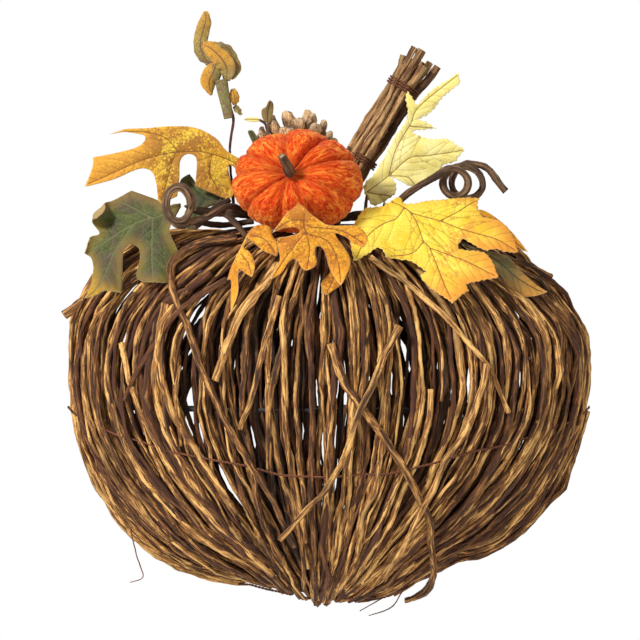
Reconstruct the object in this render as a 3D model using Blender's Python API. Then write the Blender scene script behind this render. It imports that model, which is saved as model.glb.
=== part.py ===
"""A harvest door wreath: half a pumpkin of bound vines on a wire frame, a stick stem, and a
spray of fabric leaves, a velvet pumpkin, a pinecone and tendrils at its top.

Metres, +Z up. The door is the plane y = 0 and the front faces -Y. The origin is the point
where the frame hangs."""

from math import asin, atan2, cos, degrees, pi, radians, sin

import bmesh
import bpy
from mathutils import Euler, Matrix, Vector

# Vine body
HALF_WIDTH = 0.195
DEPTH = 0.125
BACK_EDGE = 0.008
WAIST_Z = -0.115
RISE = 0.120
FALL = 0.166
TOP_DIP = 0.030
UPPER_ROUNDNESS = 2 / 2.7
LOWER_ROUNDNESS = 1.0
TOP_SPREAD = 0.038
BOTTOM_SPREAD = 0.040
BOTTOM_CENTER_X = -0.006
TOP_GATHER_DEPTH = 0.28
BOTTOM_GATHER_DEPTH = 0.22

# Bundles of vines: for each lobe its first angle, its last angle and its number of bundles
LOBES = (
    (-90.0, -20.0, 4),
    (-13.0, 25.0, 3),
    (27.0, 90.0, 5),
)
BUNDLE_THICKNESS = 0.0068
RIDGE_HEIGHT = 0.0009
RIDGES = 3
BUNDLE_STEPS = 14
BUNDLE_GAP_DEG = 0.9
WAIST_OPENING = 0.12
GATHER_END = 0.012
BACK_VINE_SHARES = (-0.62, -0.24, 0.20, 0.60)
BACK_VINE_Y = -0.0125
BACK_VINE_TOP_Z = -0.046
BACK_VINE_FALL = 0.214
BACK_VINE_FOOT = 0.050
BACK_VINE_BOW = 0.125

# Wire frame
FRAME_WIRE = 0.0017
RING_Y = -0.0045
RING_HALF_WIDTH = 0.180
RING_TOP_Z = 0.0
RING_BOTTOM_Z = -0.262
RIB_LIFT = -0.0082
HOOP_LIFT = -0.0122
HOOP_Z = -0.140
RIB_ANGLES = (("left", -48.0), ("center", 3.0), ("right", 52.0))
RIB_START = 0.05
HOOP_END = 88.0
BRACE_REACH = 0.1745
HANGER_WIRE = 0.0007
HANGER_EYE = 0.0065
HANGER_GRIP = 0.0028
HANGER_NECK = 0.0045
HANGER_NECK_X = 0.0013
HANGER_EYE_OPENING = 0.25

# Binding wires and loose vines over the bundles
BINDING_WIRE = 0.0008
BINDING_LIFT = 0.0060
BINDING_Z = -0.140
BINDING_SAG = 0.045
BINDING_END = 87.0
TOP_BINDING_T = 0.045
BOTTOM_BINDING_T = 0.965
VINE_RADIUS = 0.0028
SHOULDER_LAYER = 0.0088
LOWER_LAYER = 0.0102
UPPER_LAYER = 0.0165
LOOP_ANGLE = 83.0
LOOP_TURN_IN = 18.0
LOOP_START = 0.58
LOOP_LENGTH = 0.30

# Stem of sticks
STICK_RADIUS = 0.0040
STICK_PITCH = 0.0083
STEM_FOOT = Vector((-0.0105, -0.0300, -0.0080))
STEM_LENGTH = 0.160
STEM_LEAN = 31.0
STEM_FAN = 0.0030
STICK_UNEVENNESS = 0.006
TIE_WIRE = 0.0008
TIE_PITCH = 0.0021
TIE_TURNS = 2.5
TIE_LOWER = 0.066
TIE_UPPER = 0.129
TIE_GAP = 0.0004
FAN_START = 0.136

# Decoration
LEAF_THICKNESS = 0.0010
PETIOLE = 0.0011
PICK_RADIUS = 0.0038
VELVET_CENTER = Vector((-0.0236, -0.1010, 0.0305))
VELVET_SIZE = Vector((0.0498, 0.0415, 0.0395))
VELVET_LOBES = 9
VELVET_PLEAT = 0.05
VELVET_DIMPLE = 0.22
VELVET_TILT = 80.0
VELVET_YAW = -8.0
VELVET_TWIG_FOOT = Vector((-0.0045, -0.0365, 0.0055))
VELVET_TWIG = Vector((-0.0080, -0.0060, 0.0120))
VELVET_TWIG_RADIUS = 0.0026
CONE_CENTER = Vector((-0.0260, -0.0385, 0.0480))
CONE_SIZE = Vector((0.0215, 0.0155, 0.0385))
CONE_TAPER = 0.18
TENDRIL_RADIUS = 0.0026


def clear_scene():
    for thing in list(bpy.data.objects):
        bpy.data.objects.remove(thing, do_unlink=True)


def make_collection(name):
    collection = bpy.data.collections.new(name)
    bpy.context.scene.collection.children.link(collection)
    return collection


def material(name, color, roughness, metallic=0.0):
    made = bpy.data.materials.new(name)
    made.use_nodes = True
    shader = made.node_tree.nodes["Principled BSDF"]
    shader.inputs["Base Color"].default_value = (*color, 1.0)
    shader.inputs["Roughness"].default_value = roughness
    shader.inputs["Metallic"].default_value = metallic
    made.diffuse_color = (*color, 1.0)
    return made


def add_mesh(name, bm, mat, collection):
    """Turn a bmesh into an object, with its faces turned outward."""
    bmesh.ops.recalc_face_normals(bm, faces=bm.faces)
    mesh = bpy.data.meshes.new(name)
    bm.to_mesh(mesh)
    bm.free()
    mesh.materials.append(mat)
    made = bpy.data.objects.new(name, mesh)
    collection.objects.link(made)
    return made


def add_tube(name, points, radius, mat, collection, closed=False, origin=None, taper=1.0):
    """A wire or vine as a bevelled curve, with its object's origin at a chosen point."""
    origin = Vector((0, 0, 0)) if origin is None else origin
    curve = bpy.data.curves.new(name, "CURVE")
    curve.dimensions = "3D"
    curve.bevel_depth = radius
    curve.bevel_resolution = 2
    curve.use_fill_caps = not closed
    spline = curve.splines.new("POLY")
    spline.points.add(len(points) - 1)
    last = max(len(points) - 1, 1)
    for index, (place, slot) in enumerate(zip(points, spline.points)):
        slot.co = (*(Vector(place) - origin), 1.0)
        slot.radius = 1.0 + (taper - 1.0) * index / last
    spline.use_cyclic_u = closed
    curve.materials.append(mat)
    made = bpy.data.objects.new(name, curve)
    made.location = origin
    collection.objects.link(made)
    return made


def smooth_path(route, steps):
    """Points along a Catmull-Rom curve through a short route."""
    route = [Vector(p) for p in route]
    ends = [2 * route[0] - route[1], *route, 2 * route[-1] - route[-2]]
    path = []
    for k in range(len(route) - 1):
        a, b, c, d = ends[k : k + 4]
        for step in range(steps):
            s = step / steps
            path.append(
                0.5
                * (
                    2 * b
                    + (c - a) * s
                    + (2 * a - 5 * b + 4 * c - d) * s**2
                    + (3 * b - a - 3 * c + d) * s**3
                )
            )
    path.append(route[-1])
    return path


# The vine surface


def reach_and_height(t):
    """How far out a vine is, from 0 to 1, and its height, at t from 0 (top) to 1 (bottom)."""
    turn = pi * t
    if t < 0.5:
        reach = sin(turn) ** UPPER_ROUNDNESS
        height = WAIST_Z + RISE * cos(turn) ** UPPER_ROUNDNESS - TOP_DIP * (1 - reach) ** 2
        return reach, height
    drop = max(-cos(turn), 0.0)
    return sin(turn) ** LOWER_ROUNDNESS, WAIST_Z - FALL * drop**LOWER_ROUNDNESS


def vine_point(angle, t):
    """A point on the vine surface; angle is 0 at the front and 90 degrees at the right edge."""
    reach, height = reach_and_height(t)
    spread, center, gather = TOP_SPREAD, 0.0, TOP_GATHER_DEPTH
    if t >= 0.5:
        spread, center, gather = BOTTOM_SPREAD, BOTTOM_CENTER_X, BOTTOM_GATHER_DEPTH
    across = (center + spread * sin(angle)) * (1 - reach) + HALF_WIDTH * reach * sin(angle)
    forward = (DEPTH - BACK_EDGE) * (gather + (1 - gather) * reach) * cos(angle)
    return Vector((across, -BACK_EDGE - forward, height))


def vine_normal(angle, t):
    """The outward direction of the vine surface."""
    small = 0.002
    t = min(max(t, 2 * small), 1 - 2 * small)
    along = vine_point(angle, t + small) - vine_point(angle, t - small)
    around = vine_point(angle + small, t) - vine_point(angle - small, t)
    return along.cross(around).normalized()


def lifted(angle_deg, t, lift):
    """A point at a height above the vine surface."""
    angle = radians(angle_deg)
    return vine_point(angle, t) + vine_normal(angle, t) * lift


def t_at_height(z):
    """Where along a vine it passes a height below its shoulder."""
    low, high = 0.14, 0.985
    for _ in range(40):
        middle = (low + high) / 2
        if reach_and_height(middle)[1] > z:
            low = middle
        else:
            high = middle
    return low


def over_vines(x, z, lift):
    """The point above the front of the vine surface at an x and a z."""
    t = t_at_height(z)
    reach = reach_and_height(t)[0]
    spread, center = (TOP_SPREAD, 0.0) if t < 0.5 else (BOTTOM_SPREAD, BOTTOM_CENTER_X)
    share = (x - center * (1 - reach)) / (spread * (1 - reach) + HALF_WIDTH * reach)
    share = min(max(share, -0.999), 0.999)
    return lifted(degrees(asin(share)), t, lift)


def add_bundle(name, low_deg, high_deg, mat, collection):
    """A slab of vines side by side: a flat slab in (angle, t, depth), wrapped on the surface."""
    bm = bmesh.new()
    bmesh.ops.create_grid(bm, x_segments=2 * RIDGES, y_segments=BUNDLE_STEPS, size=1.0)
    bmesh.ops.solidify(bm, geom=bm.faces[:], thickness=1.0)
    middle, half = (low_deg + high_deg) / 2, (high_deg - low_deg) / 2
    top = max(v.co.z for v in bm.verts)
    for vert in bm.verts:
        side, along = vert.co.x, vert.co.y
        t = GATHER_END + (1 - 2 * GATHER_END) * (0.5 - 0.5 * cos(pi * (along + 1) / 2))
        reach = reach_and_height(t)[0]
        share = 1 - WAIST_OPENING * reach
        angle = radians(middle + side * (half - BUNDLE_GAP_DEG) * share)
        ridge = -RIDGE_HEIGHT * cos(pi * RIDGES * (side + 1))
        outer = 0.5 if vert.co.z > top - 0.5 else -0.5
        lift = outer * BUNDLE_THICKNESS + ridge * (1 if outer > 0 else -1)
        vert.co = vine_point(angle, t) + vine_normal(angle, t) * lift
    return add_mesh(name, bm, mat, collection)


def build_bundles(mat, collection):
    number = 0
    for low, high, count in LOBES:
        step = (high - low) / count
        for k in range(count):
            number += 1
            name = f"vine_bundle_{number:02d}"
            add_bundle(name, low + k * step, low + (k + 1) * step, mat, collection)


def build_back_vines(mat, collection):
    """Four vines that run down the open back, inside the ring."""
    steps = 10
    for number, share in enumerate(BACK_VINE_SHARES, start=1):
        points = []
        for k in range(steps + 1):
            s = k / steps
            x = share * (BACK_VINE_FOOT + BACK_VINE_BOW * sin(pi * s) ** 0.7)
            points.append((x, BACK_VINE_Y, BACK_VINE_TOP_Z - BACK_VINE_FALL * s))
        name = f"back_vine_{number}"
        add_tube(name, points, VINE_RADIUS, mat, collection, taper=0.8)


# Frame


def ring_point(turn):
    """A point on the ring's outline; turn is 0 at the top."""
    rise = RING_TOP_Z - WAIST_Z if cos(turn) > 0 else WAIST_Z - RING_BOTTOM_Z
    power = UPPER_ROUNDNESS if cos(turn) > 0 else LOWER_ROUNDNESS
    across = abs(sin(turn)) ** power * (1 if sin(turn) >= 0 else -1)
    up = abs(cos(turn)) ** power * (1 if cos(turn) >= 0 else -1)
    return Vector((RING_HALF_WIDTH * across, RING_Y, WAIST_Z + rise * up))


def build_frame(mat, collection):
    ring_steps = 36
    ring = [ring_point(2 * pi * k / ring_steps) for k in range(ring_steps)]
    add_tube("back_ring", ring, FRAME_WIRE, mat, collection, closed=True)

    brace = [(x, RING_Y, HOOP_Z) for x in (-BRACE_REACH, 0.0, BRACE_REACH)]
    add_tube("waist_brace", brace, FRAME_WIRE, mat, collection)

    hoop_steps = 22
    t = t_at_height(HOOP_Z)
    hoop = [
        lifted(HOOP_END * (2 * k / hoop_steps - 1), t, HOOP_LIFT) for k in range(hoop_steps + 1)
    ]
    add_tube("waist_hoop", hoop, FRAME_WIRE, mat, collection)

    rib_steps = 16
    for side, angle in RIB_ANGLES:
        rib = [
            lifted(angle, RIB_START + (1 - 2 * RIB_START) * k / rib_steps, RIB_LIFT)
            for k in range(rib_steps + 1)
        ]
        add_tube(f"rib_wire_{side}", rib, FRAME_WIRE, mat, collection)


def hanger_path():
    """One wire: a turn around the ring wire, then an eye that stands up from it."""
    pivot = Vector((0, RING_Y, RING_TOP_Z))
    path = []
    grip_steps = 12
    for k in range(grip_steps + 1):
        turn = pi / 2 + 2 * pi * k / grip_steps
        x = HANGER_NECK_X * (2 * k / grip_steps - 1)
        path.append(pivot + Vector((x, HANGER_GRIP * cos(turn), HANGER_GRIP * sin(turn))))
    eye_steps = 14
    eye_z = HANGER_GRIP + HANGER_NECK + HANGER_EYE
    for k in range(eye_steps + 1):
        turn = -pi / 2 + HANGER_EYE_OPENING + 2 * (pi - HANGER_EYE_OPENING) * k / eye_steps
        path.append(
            pivot + Vector((HANGER_EYE * cos(turn), 0, eye_z + HANGER_EYE * sin(turn)))
        )
    return path, pivot


def build_hanger(mat, collection):
    path, pivot = hanger_path()
    add_tube("hanger_loop", path, HANGER_WIRE, mat, collection, closed=True, origin=pivot)


def build_bindings(mat, collection):
    """The wires that hold the bundles together at the waist, the top and the bottom."""
    steps = 44
    waist = []
    for k in range(steps + 1):
        angle = BINDING_END * (2 * k / steps - 1)
        z = BINDING_Z - BINDING_SAG * cos(radians(angle)) ** 2
        waist.append(lifted(angle, t_at_height(z), BINDING_LIFT))
    add_tube("waist_binding", waist, BINDING_WIRE, mat, collection)

    arcs = (
        ("top_binding", -BINDING_END, BINDING_END, TOP_BINDING_T, 22),
        ("bottom_binding_left", -BINDING_END, LOBES[0][1], BOTTOM_BINDING_T, 10),
        ("bottom_binding_right", LOBES[1][0], BINDING_END, BOTTOM_BINDING_T, 14),
    )
    for name, low, high, t, count in arcs:
        step = (high - low) / count
        arc = [lifted(low + step * k, t, BINDING_LIFT) for k in range(count + 1)]
        add_tube(name, arc, BINDING_WIRE, mat, collection)


# Single vines over the bundles: name, lift, thickness and the (x, z) places they pass.
CROSSING_VINES = (
    ("crossing_vine_left", LOWER_LAYER, 1.10,
     ((-0.094, -0.080), (-0.091, -0.118), (-0.072, -0.155), (-0.043, -0.197), (-0.018, -0.235))),
    ("crossing_vine_center", LOWER_LAYER, 1.25,
     ((0.002, -0.097), (0.022, -0.132), (0.047, -0.167), (0.070, -0.212), (0.074, -0.250))),
    ("crossing_vine_right", UPPER_LAYER, 1.00,
     ((0.110, -0.118), (0.098, -0.145), (0.076, -0.196), (0.066, -0.212), (0.042, -0.254))),
    ("crossing_vine_diagonal", UPPER_LAYER, 1.00,
     ((0.047, -0.088), (0.022, -0.136), (0.002, -0.181), (-0.011, -0.204), (-0.031, -0.224))),
    ("shoulder_vine", SHOULDER_LAYER, 0.90,
     ((0.058, -0.047), (0.077, -0.063), (0.098, -0.088), (0.116, -0.110), (0.126, -0.128))),
)


def build_crossing_vines(mat, collection):
    """Single vines that cross over the bundles, and one that bows out past the right edge."""
    for name, lift, thick, route in CROSSING_VINES:
        guide = smooth_path([(x, 0, z) for x, z in route], 3)
        points = [over_vines(p.x, p.z, lift) for p in guide]
        add_tube(name, points, VINE_RADIUS * thick, mat, collection, taper=0.85)

    loop_steps = 12
    loop = []
    for k in range(loop_steps + 1):
        s = k / loop_steps
        angle = LOOP_ANGLE - LOOP_TURN_IN * s**2
        loop.append(lifted(angle, LOOP_START + LOOP_LENGTH * s, LOWER_LAYER))
    add_tube("outer_loop_vine", loop, VINE_RADIUS, mat, collection, taper=0.7)


# Stem


def stem_frame():
    """The stem's axes: along it, across it, and towards the front."""
    lean = radians(STEM_LEAN)
    along = Vector((sin(lean), 0, cos(lean)))
    across = Vector((cos(lean), 0, -sin(lean)))
    return along, across, Vector((0, -1, 0))


def build_stem(bark, wire, collection):
    along, across, front = stem_frame()
    for number in range(7):
        turn = 2 * pi * (number - 1) / 6
        offset = Vector((0, 0, 0))
        if number:
            offset = across * cos(turn) * STICK_PITCH + front * sin(turn) * STICK_PITCH
        fan = offset * (STEM_FAN / STICK_PITCH)
        reach = STEM_LENGTH + STICK_UNEVENNESS * sin(2.4 * number)
        points = [
            STEM_FOOT + offset,
            STEM_FOOT + offset + along * FAN_START,
            STEM_FOOT + offset + fan + along * reach,
        ]
        add_tube(f"stem_stick_{number + 1}", points, STICK_RADIUS, bark, collection)

    turn_steps = 14
    radius = STICK_PITCH + STICK_RADIUS + TIE_WIRE + TIE_GAP
    for name, height in (("stem_tie_lower", TIE_LOWER), ("stem_tie_upper", TIE_UPPER)):
        points = []
        for k in range(round(turn_steps * TIE_TURNS) + 1):
            turn = 2 * pi * k / turn_steps
            around = (across * cos(turn) + front * sin(turn)) * radius
            rise = along * (height + TIE_PITCH * k / turn_steps)
            points.append(STEM_FOOT + around + rise)
        add_tube(name, points, TIE_WIRE, wire, collection)


# Leaves. Each outline runs around the leaf from its base, as (across, up) from the base.

GOLD_OAK = (
    (-0.021, 0.021), (-0.037, 0.028), (-0.056, 0.029), (-0.075, 0.027), (-0.101, 0.024),
    (-0.084, 0.015), (-0.115, 0.007), (-0.121, -0.016), (-0.094, -0.009), (-0.075, -0.002),
    (-0.067, -0.009), (-0.064, -0.030), (-0.051, -0.023), (-0.049, 0.005), (-0.037, 0.004),
    (-0.037, -0.014), (-0.016, -0.024), (-0.011, -0.004),
)
GREEN = (
    (-0.023, 0.006), (-0.043, 0.013), (-0.063, -0.005), (-0.069, -0.024), (-0.076, -0.037),
    (-0.069, -0.046), (-0.070, -0.081), (-0.056, -0.066), (-0.045, -0.066), (-0.046, -0.034),
    (-0.033, -0.037), (-0.034, -0.055), (-0.021, -0.059), (-0.008, -0.054), (-0.003, -0.033),
    (-0.014, -0.008),
)
DARK_GREEN = (
    (0.000, 0.014), (-0.016, 0.020), (-0.034, 0.016), (-0.030, 0.005), (-0.018, -0.002),
    (-0.032, -0.018), (-0.027, -0.035), (-0.016, -0.033), (-0.010, -0.015),
)
YELLOW_MAPLE = (
    (0.011, 0.004), (0.026, -0.002), (0.041, 0.003), (0.071, 0.006), (0.073, -0.013),
    (0.092, -0.026), (0.096, -0.038), (0.072, -0.040), (0.078, -0.062), (0.055, -0.066),
    (0.042, -0.085), (0.025, -0.065), (0.024, -0.056), (0.005, -0.047), (-0.006, -0.040),
    (-0.024, -0.046), (-0.023, -0.024), (-0.014, -0.008),
)
PALE_MAPLE = (
    (0.010, 0.019), (0.022, 0.045), (0.033, 0.073), (0.037, 0.055), (0.051, 0.062),
    (0.071, 0.088), (0.068, 0.073), (0.053, 0.052), (0.044, 0.038), (0.074, 0.030),
    (0.068, 0.021), (0.049, 0.008), (0.038, 0.000), (0.019, 0.006),
)
OLIVE = (
    (0.020, -0.004), (0.040, -0.019), (0.052, -0.036), (0.028, -0.037), (0.014, -0.026),
    (0.004, -0.010),
)
EDGE = ((0.016, -0.005), (0.032, -0.020), (0.040, -0.032), (0.024, -0.027), (0.009, -0.015))
ORANGE_OAK = (
    (-0.015, 0.007), (-0.021, -0.002), (-0.026, -0.014), (-0.028, -0.027), (-0.035, -0.044),
    (-0.020, -0.032), (-0.010, -0.039), (-0.001, -0.033), (-0.002, -0.022), (0.004, -0.022),
    (0.008, -0.036), (0.018, -0.050), (0.024, -0.031), (0.013, -0.014), (0.031, -0.021),
    (0.026, -0.008), (0.009, -0.003),
)
SMALL_GOLD = (
    (0.014, -0.003), (0.013, -0.014), (0.001, -0.011), (-0.003, -0.022), (-0.005, -0.030),
    (-0.013, -0.024), (-0.016, -0.037), (-0.020, -0.049), (-0.023, -0.033), (-0.020, -0.016),
    (-0.010, -0.003),
)
SMALL_ORANGE = ((0.006, -0.006), (0.003, -0.014), (-0.008, -0.021), (-0.010, -0.011), (-0.006, -0.003))
SMALL_BROWN = ((0.003, 0.004), (0.003, 0.013), (-0.001, 0.019), (-0.005, 0.014), (-0.004, 0.004))

# Each leaf's outline, base (x, y, z), petiole's foot from the base, yaw, pitch and colour
LEAVES = {
    "gold_oak_leaf": (
        GOLD_OAK, (-0.0660, -0.0480, 0.0440), (0.004, -0.032), -4.0, 5.0, "gold"),
    "green_leaf": (
        GREEN, (-0.1080, -0.0860, 0.0130), (0.012, -0.004), -12.0, -14.0, "green"),
    "dark_green_leaf": (
        DARK_GREEN, (-0.0780, -0.0360, 0.0260), (0.004, -0.004), -4.0, -22.0, "dark_green"),
    "yellow_maple_leaf": (
        YELLOW_MAPLE, (0.0434, -0.0970, 0.0150), (-0.007, 0.006), 9.0, -24.0, "yellow"),
    "pale_maple_leaf": (
        PALE_MAPLE, (0.0290, -0.0560, 0.0240), (0.002, -0.010), 2.0, -2.0, "pale"),
    "olive_leaf": (
        OLIVE, (0.1140, -0.0900, -0.0190), (-0.012, 0.004), 26.0, -16.0, "olive"),
    "orange_edge_leaf": (
        EDGE, (0.1120, -0.0630, 0.0090), (-0.014, 0.002), 14.0, -8.0, "orange"),
    "orange_oak_leaf": (
        ORANGE_OAK, (-0.0076, -0.1460, 0.0010), (0.001, 0.004), 2.0, 9.0, "orange"),
    "small_gold_leaf": (
        SMALL_GOLD, (-0.0500, -0.1260, -0.0110), (0.004, 0.006), -9.0, -6.0, "gold"),
    "small_orange_leaf": (
        SMALL_ORANGE, (0.0060, -0.1290, -0.0340), (0.001, 0.004), 2.0, -6.0, "orange"),
    "small_brown_leaf": (
        SMALL_BROWN, (-0.0460, -0.0500, 0.0760), (0.002, -0.012), 0.0, 0.0, "olive"),
}


def add_leaf(name, outline, base, foot, yaw, pitch, mat, collection):
    """A flat leaf with its petiole; the object's origin is the petiole's foot."""
    foot = Vector(foot)
    leaf = [Vector(p) for p in outline]
    area = sum(a.x * b.y - a.y * b.x for a, b in zip(leaf, leaf[1:] + leaf[:1]))
    side = Vector((-foot.y, foot.x)).normalized() * PETIOLE * (1 if area > 0 else -1)
    rim = [foot + side, side, *leaf, -side, foot - side]
    curve = bpy.data.curves.new(name, "CURVE")
    curve.dimensions = "2D"
    curve.fill_mode = "BOTH"
    curve.extrude = LEAF_THICKNESS / 2
    spline = curve.splines.new("POLY")
    spline.points.add(len(rim) - 1)
    for place, slot in zip(rim, spline.points):
        slot.co = (place.x - foot.x, place.y - foot.y, 0, 1)
    spline.use_cyclic_u = True
    curve.materials.append(mat)
    made = bpy.data.objects.new(name, curve)
    turn = Matrix.Rotation(radians(yaw), 4, "Z") @ Matrix.Rotation(radians(90 + pitch), 4, "X")
    shift = turn @ Vector((foot.x, foot.y, 0))
    made.matrix_world = Matrix.Translation(Vector(base) + shift) @ turn
    collection.objects.link(made)
    return made


def build_leaves(mats, collection):
    for name, (outline, base, foot, yaw, pitch, color) in LEAVES.items():
        add_leaf(name, outline, base, foot, yaw, pitch, mats[color], collection)


# The curled leaf spray: (across, up, half width) along its stem and its blade
SPRAY_BASE = (-0.0715, -0.0420, 0.0120)
SPRAY_FOOT = (0.0, -0.0001)
SPRAY_PITCH = 2.0
SPRAY_ROUTE = (
    (0.000, 0.000, 0.0012), (-0.003, 0.024, 0.0012), (-0.003, 0.050, 0.0012),
    (-0.001, 0.066, 0.0014), (-0.002, 0.080, 0.0048), (-0.006, 0.094, 0.0055),
    (-0.001, 0.106, 0.0070), (-0.008, 0.120, 0.0085), (-0.020, 0.130, 0.0070),
    (-0.023, 0.143, 0.0040), (-0.021, 0.155, 0.0015),
)


def build_spray(mat, collection):
    """A tall curled leaf on its stem: a ribbon whose width follows its route."""
    left, right = [], []
    route = [Vector(p) for p in SPRAY_ROUTE]
    for k, place in enumerate(route):
        before = route[max(k - 1, 0)]
        after = route[min(k + 1, len(route) - 1)]
        heading = Vector((after.x - before.x, after.y - before.y)).normalized()
        side = Vector((-heading.y, heading.x)) * place.z
        left.append(Vector((place.x, place.y)) + side)
        right.append(Vector((place.x, place.y)) - side)
    outline = [*left[1:], *reversed(right[1:])]
    add_leaf("leaf_spray", outline, SPRAY_BASE, SPRAY_FOOT, 0.0, SPRAY_PITCH, mat, collection)


PICK_ROUTE = (
    (-0.094, -0.0540, 0.009), (-0.050, -0.0535, 0.006), (0.000, -0.0530, 0.005), (0.052, -0.0540, 0.008),
)


def build_pick(mat, collection):
    """The wrapped stem that the leaves, the tendrils and the cone are wired to."""
    add_tube("pick_stem", smooth_path(PICK_ROUTE, 5), PICK_RADIUS, mat, collection, taper=0.9)


RIGHT_TENDRIL_START = (
    (0.050, -0.0605, 0.011), (0.055, -0.066, 0.018), (0.067, -0.074, 0.027), (0.080, -0.080, 0.034),
)
RIGHT_LOOPS = 2.0
RIGHT_LOOP_CENTER = Vector((0.0905, -0.0800, 0.0300))
RIGHT_LOOP_DRIFT = Vector((0.018, 0.020, 0.003))
RIGHT_LOOP_RADII = (0.010, 0.014)
RIGHT_TAIL = ((0.124, -0.058, 0.037), (0.134, -0.058, 0.0245))
LEFT_TENDRIL_START = ((-0.064, -0.0625, 0.009), (-0.074, -0.0800, 0.014), (-0.089, -0.0960, 0.005))
LEFT_LOOPS = 0.875
LEFT_LOOP_CENTER = Vector((-0.1105, -0.0980, 0.0130))
LEFT_LOOP_DRIFT = Vector((0.0, -0.006, 0.0))
LEFT_LOOP_SIZE = (0.0125, 0.0150)


def build_tendrils(mat, collection):
    """Two curled vines: a corkscrew on the right and one open loop on the left."""
    path = smooth_path(RIGHT_TENDRIL_START, 4)
    steps = 30
    start_turn = pi / 2 + 0.35
    for k in range(1, steps + 1):
        s = k / steps
        turn = start_turn - 2 * pi * RIGHT_LOOPS * s
        radius = RIGHT_LOOP_RADII[0] + (RIGHT_LOOP_RADII[1] - RIGHT_LOOP_RADII[0]) * s
        around = Vector((cos(turn), 0, sin(turn))) * radius
        path.append(RIGHT_LOOP_CENTER + RIGHT_LOOP_DRIFT * s + around)
    bend = path[-1] + Vector((0.012, 0.002, -0.002))
    path += smooth_path([path[-1], bend, *RIGHT_TAIL], 3)[1:]
    add_tube("right_tendril", path, TENDRIL_RADIUS, mat, collection, taper=0.9)

    path = smooth_path(LEFT_TENDRIL_START, 4)
    steps = 14
    start_turn = -0.9
    for k in range(steps + 1):
        s = k / steps
        turn = start_turn - 2 * pi * LEFT_LOOPS * s
        around = Vector((LEFT_LOOP_SIZE[0] * cos(turn), 0, LEFT_LOOP_SIZE[1] * sin(turn)))
        path.append(LEFT_LOOP_CENTER + LEFT_LOOP_DRIFT * s + around)
    add_tube("left_tendril", path, TENDRIL_RADIUS, mat, collection, taper=0.8)


def build_velvet_pumpkin(velvet, twig, collection):
    bm = bmesh.new()
    bmesh.ops.create_uvsphere(bm, u_segments=4 * VELVET_LOBES, v_segments=14, radius=1.0)
    for vert in bm.verts:
        turn = atan2(vert.co.y, vert.co.x)
        ring = (vert.co.x**2 + vert.co.y**2) ** 0.5
        pleat = 1 - VELVET_PLEAT * (0.5 - 0.5 * cos(VELVET_LOBES * turn)) * ring
        dimple = 1 - VELVET_DIMPLE * (1 - ring) ** 2 if vert.co.z > 0 else 1.0
        vert.co.x *= pleat
        vert.co.y *= pleat
        vert.co.z *= dimple
    # The dimple with the twig in it faces forward, and a little up and left.
    turn = Euler((radians(VELVET_TILT), 0, radians(VELVET_YAW))).to_matrix()
    for vert in bm.verts:
        vert.co = (turn @ vert.co) * VELVET_SIZE
    made = add_mesh("velvet_pumpkin", bm, velvet, collection)
    made.location = VELVET_CENTER

    foot = VELVET_CENTER + VELVET_TWIG_FOOT
    route = [foot, foot + VELVET_TWIG / 2, foot + VELVET_TWIG]
    add_tube("velvet_pumpkin_stem", route, VELVET_TWIG_RADIUS, twig, collection)


def build_pinecone(mat, collection):
    bm = bmesh.new()
    bmesh.ops.create_uvsphere(bm, u_segments=16, v_segments=10, radius=1.0)
    for vert in bm.verts:
        narrow = 1 - CONE_TAPER * vert.co.z
        vert.co = Vector((vert.co.x * narrow, vert.co.y * narrow, vert.co.z)) * CONE_SIZE
    made = add_mesh("pinecone", bm, mat, collection)
    made.location = CONE_CENTER


def main():
    clear_scene()
    wreath = make_collection("harvest_door_wreath")
    bark = material("vine_bark", (0.30, 0.17, 0.075), 0.85)
    dark_bark = material("dark_vine_bark", (0.12, 0.065, 0.035), 0.9)
    stick_bark = material("stem_bark", (0.26, 0.16, 0.085), 0.85)
    wire = material("frame_wire", (0.05, 0.045, 0.04), 0.5, 0.9)
    copper = material("binding_wire", (0.22, 0.09, 0.05), 0.45, 0.8)
    tendril = material("tendril_bark", (0.10, 0.06, 0.035), 0.85)
    velvet = material("velvet", (0.72, 0.10, 0.01), 0.9)
    cone = material("pinecone_scales", (0.45, 0.28, 0.13), 0.8)
    leaf_colors = {
        "gold": material("gold_leaf", (0.72, 0.38, 0.03), 0.7),
        "green": material("green_leaf", (0.14, 0.18, 0.04), 0.7),
        "dark_green": material("dark_green_leaf", (0.07, 0.08, 0.03), 0.75),
        "yellow": material("yellow_leaf", (0.90, 0.65, 0.05), 0.65),
        "pale": material("pale_leaf", (0.80, 0.70, 0.20), 0.7),
        "olive": material("olive_leaf", (0.20, 0.13, 0.04), 0.75),
        "orange": material("orange_leaf", (0.75, 0.25, 0.03), 0.7),
    }
    build_frame(wire, wreath)
    build_hanger(wire, wreath)
    build_bundles(bark, wreath)
    build_back_vines(dark_bark, wreath)
    build_crossing_vines(bark, wreath)
    build_bindings(copper, wreath)
    build_stem(stick_bark, copper, wreath)
    build_pick(tendril, wreath)
    build_leaves(leaf_colors, wreath)
    build_spray(leaf_colors["olive"], wreath)
    build_tendrils(tendril, wreath)
    build_velvet_pumpkin(velvet, tendril, wreath)
    build_pinecone(cone, wreath)


main()
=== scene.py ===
"""The looks of the harvest door wreath: single vines in place of each bundle, curved printed
leaves, a stuffed velvet pumpkin, a pinecone with its scales, and twisted wires.

Metres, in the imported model's frame: the door is y = 0, the front faces -Y, +Z is up."""

from math import cos, pi, radians, sin, sqrt

import bmesh
import bpy
import numpy as np
from mathutils import Matrix, Vector
from mathutils.geometry import delaunay_2d_cdt


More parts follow.
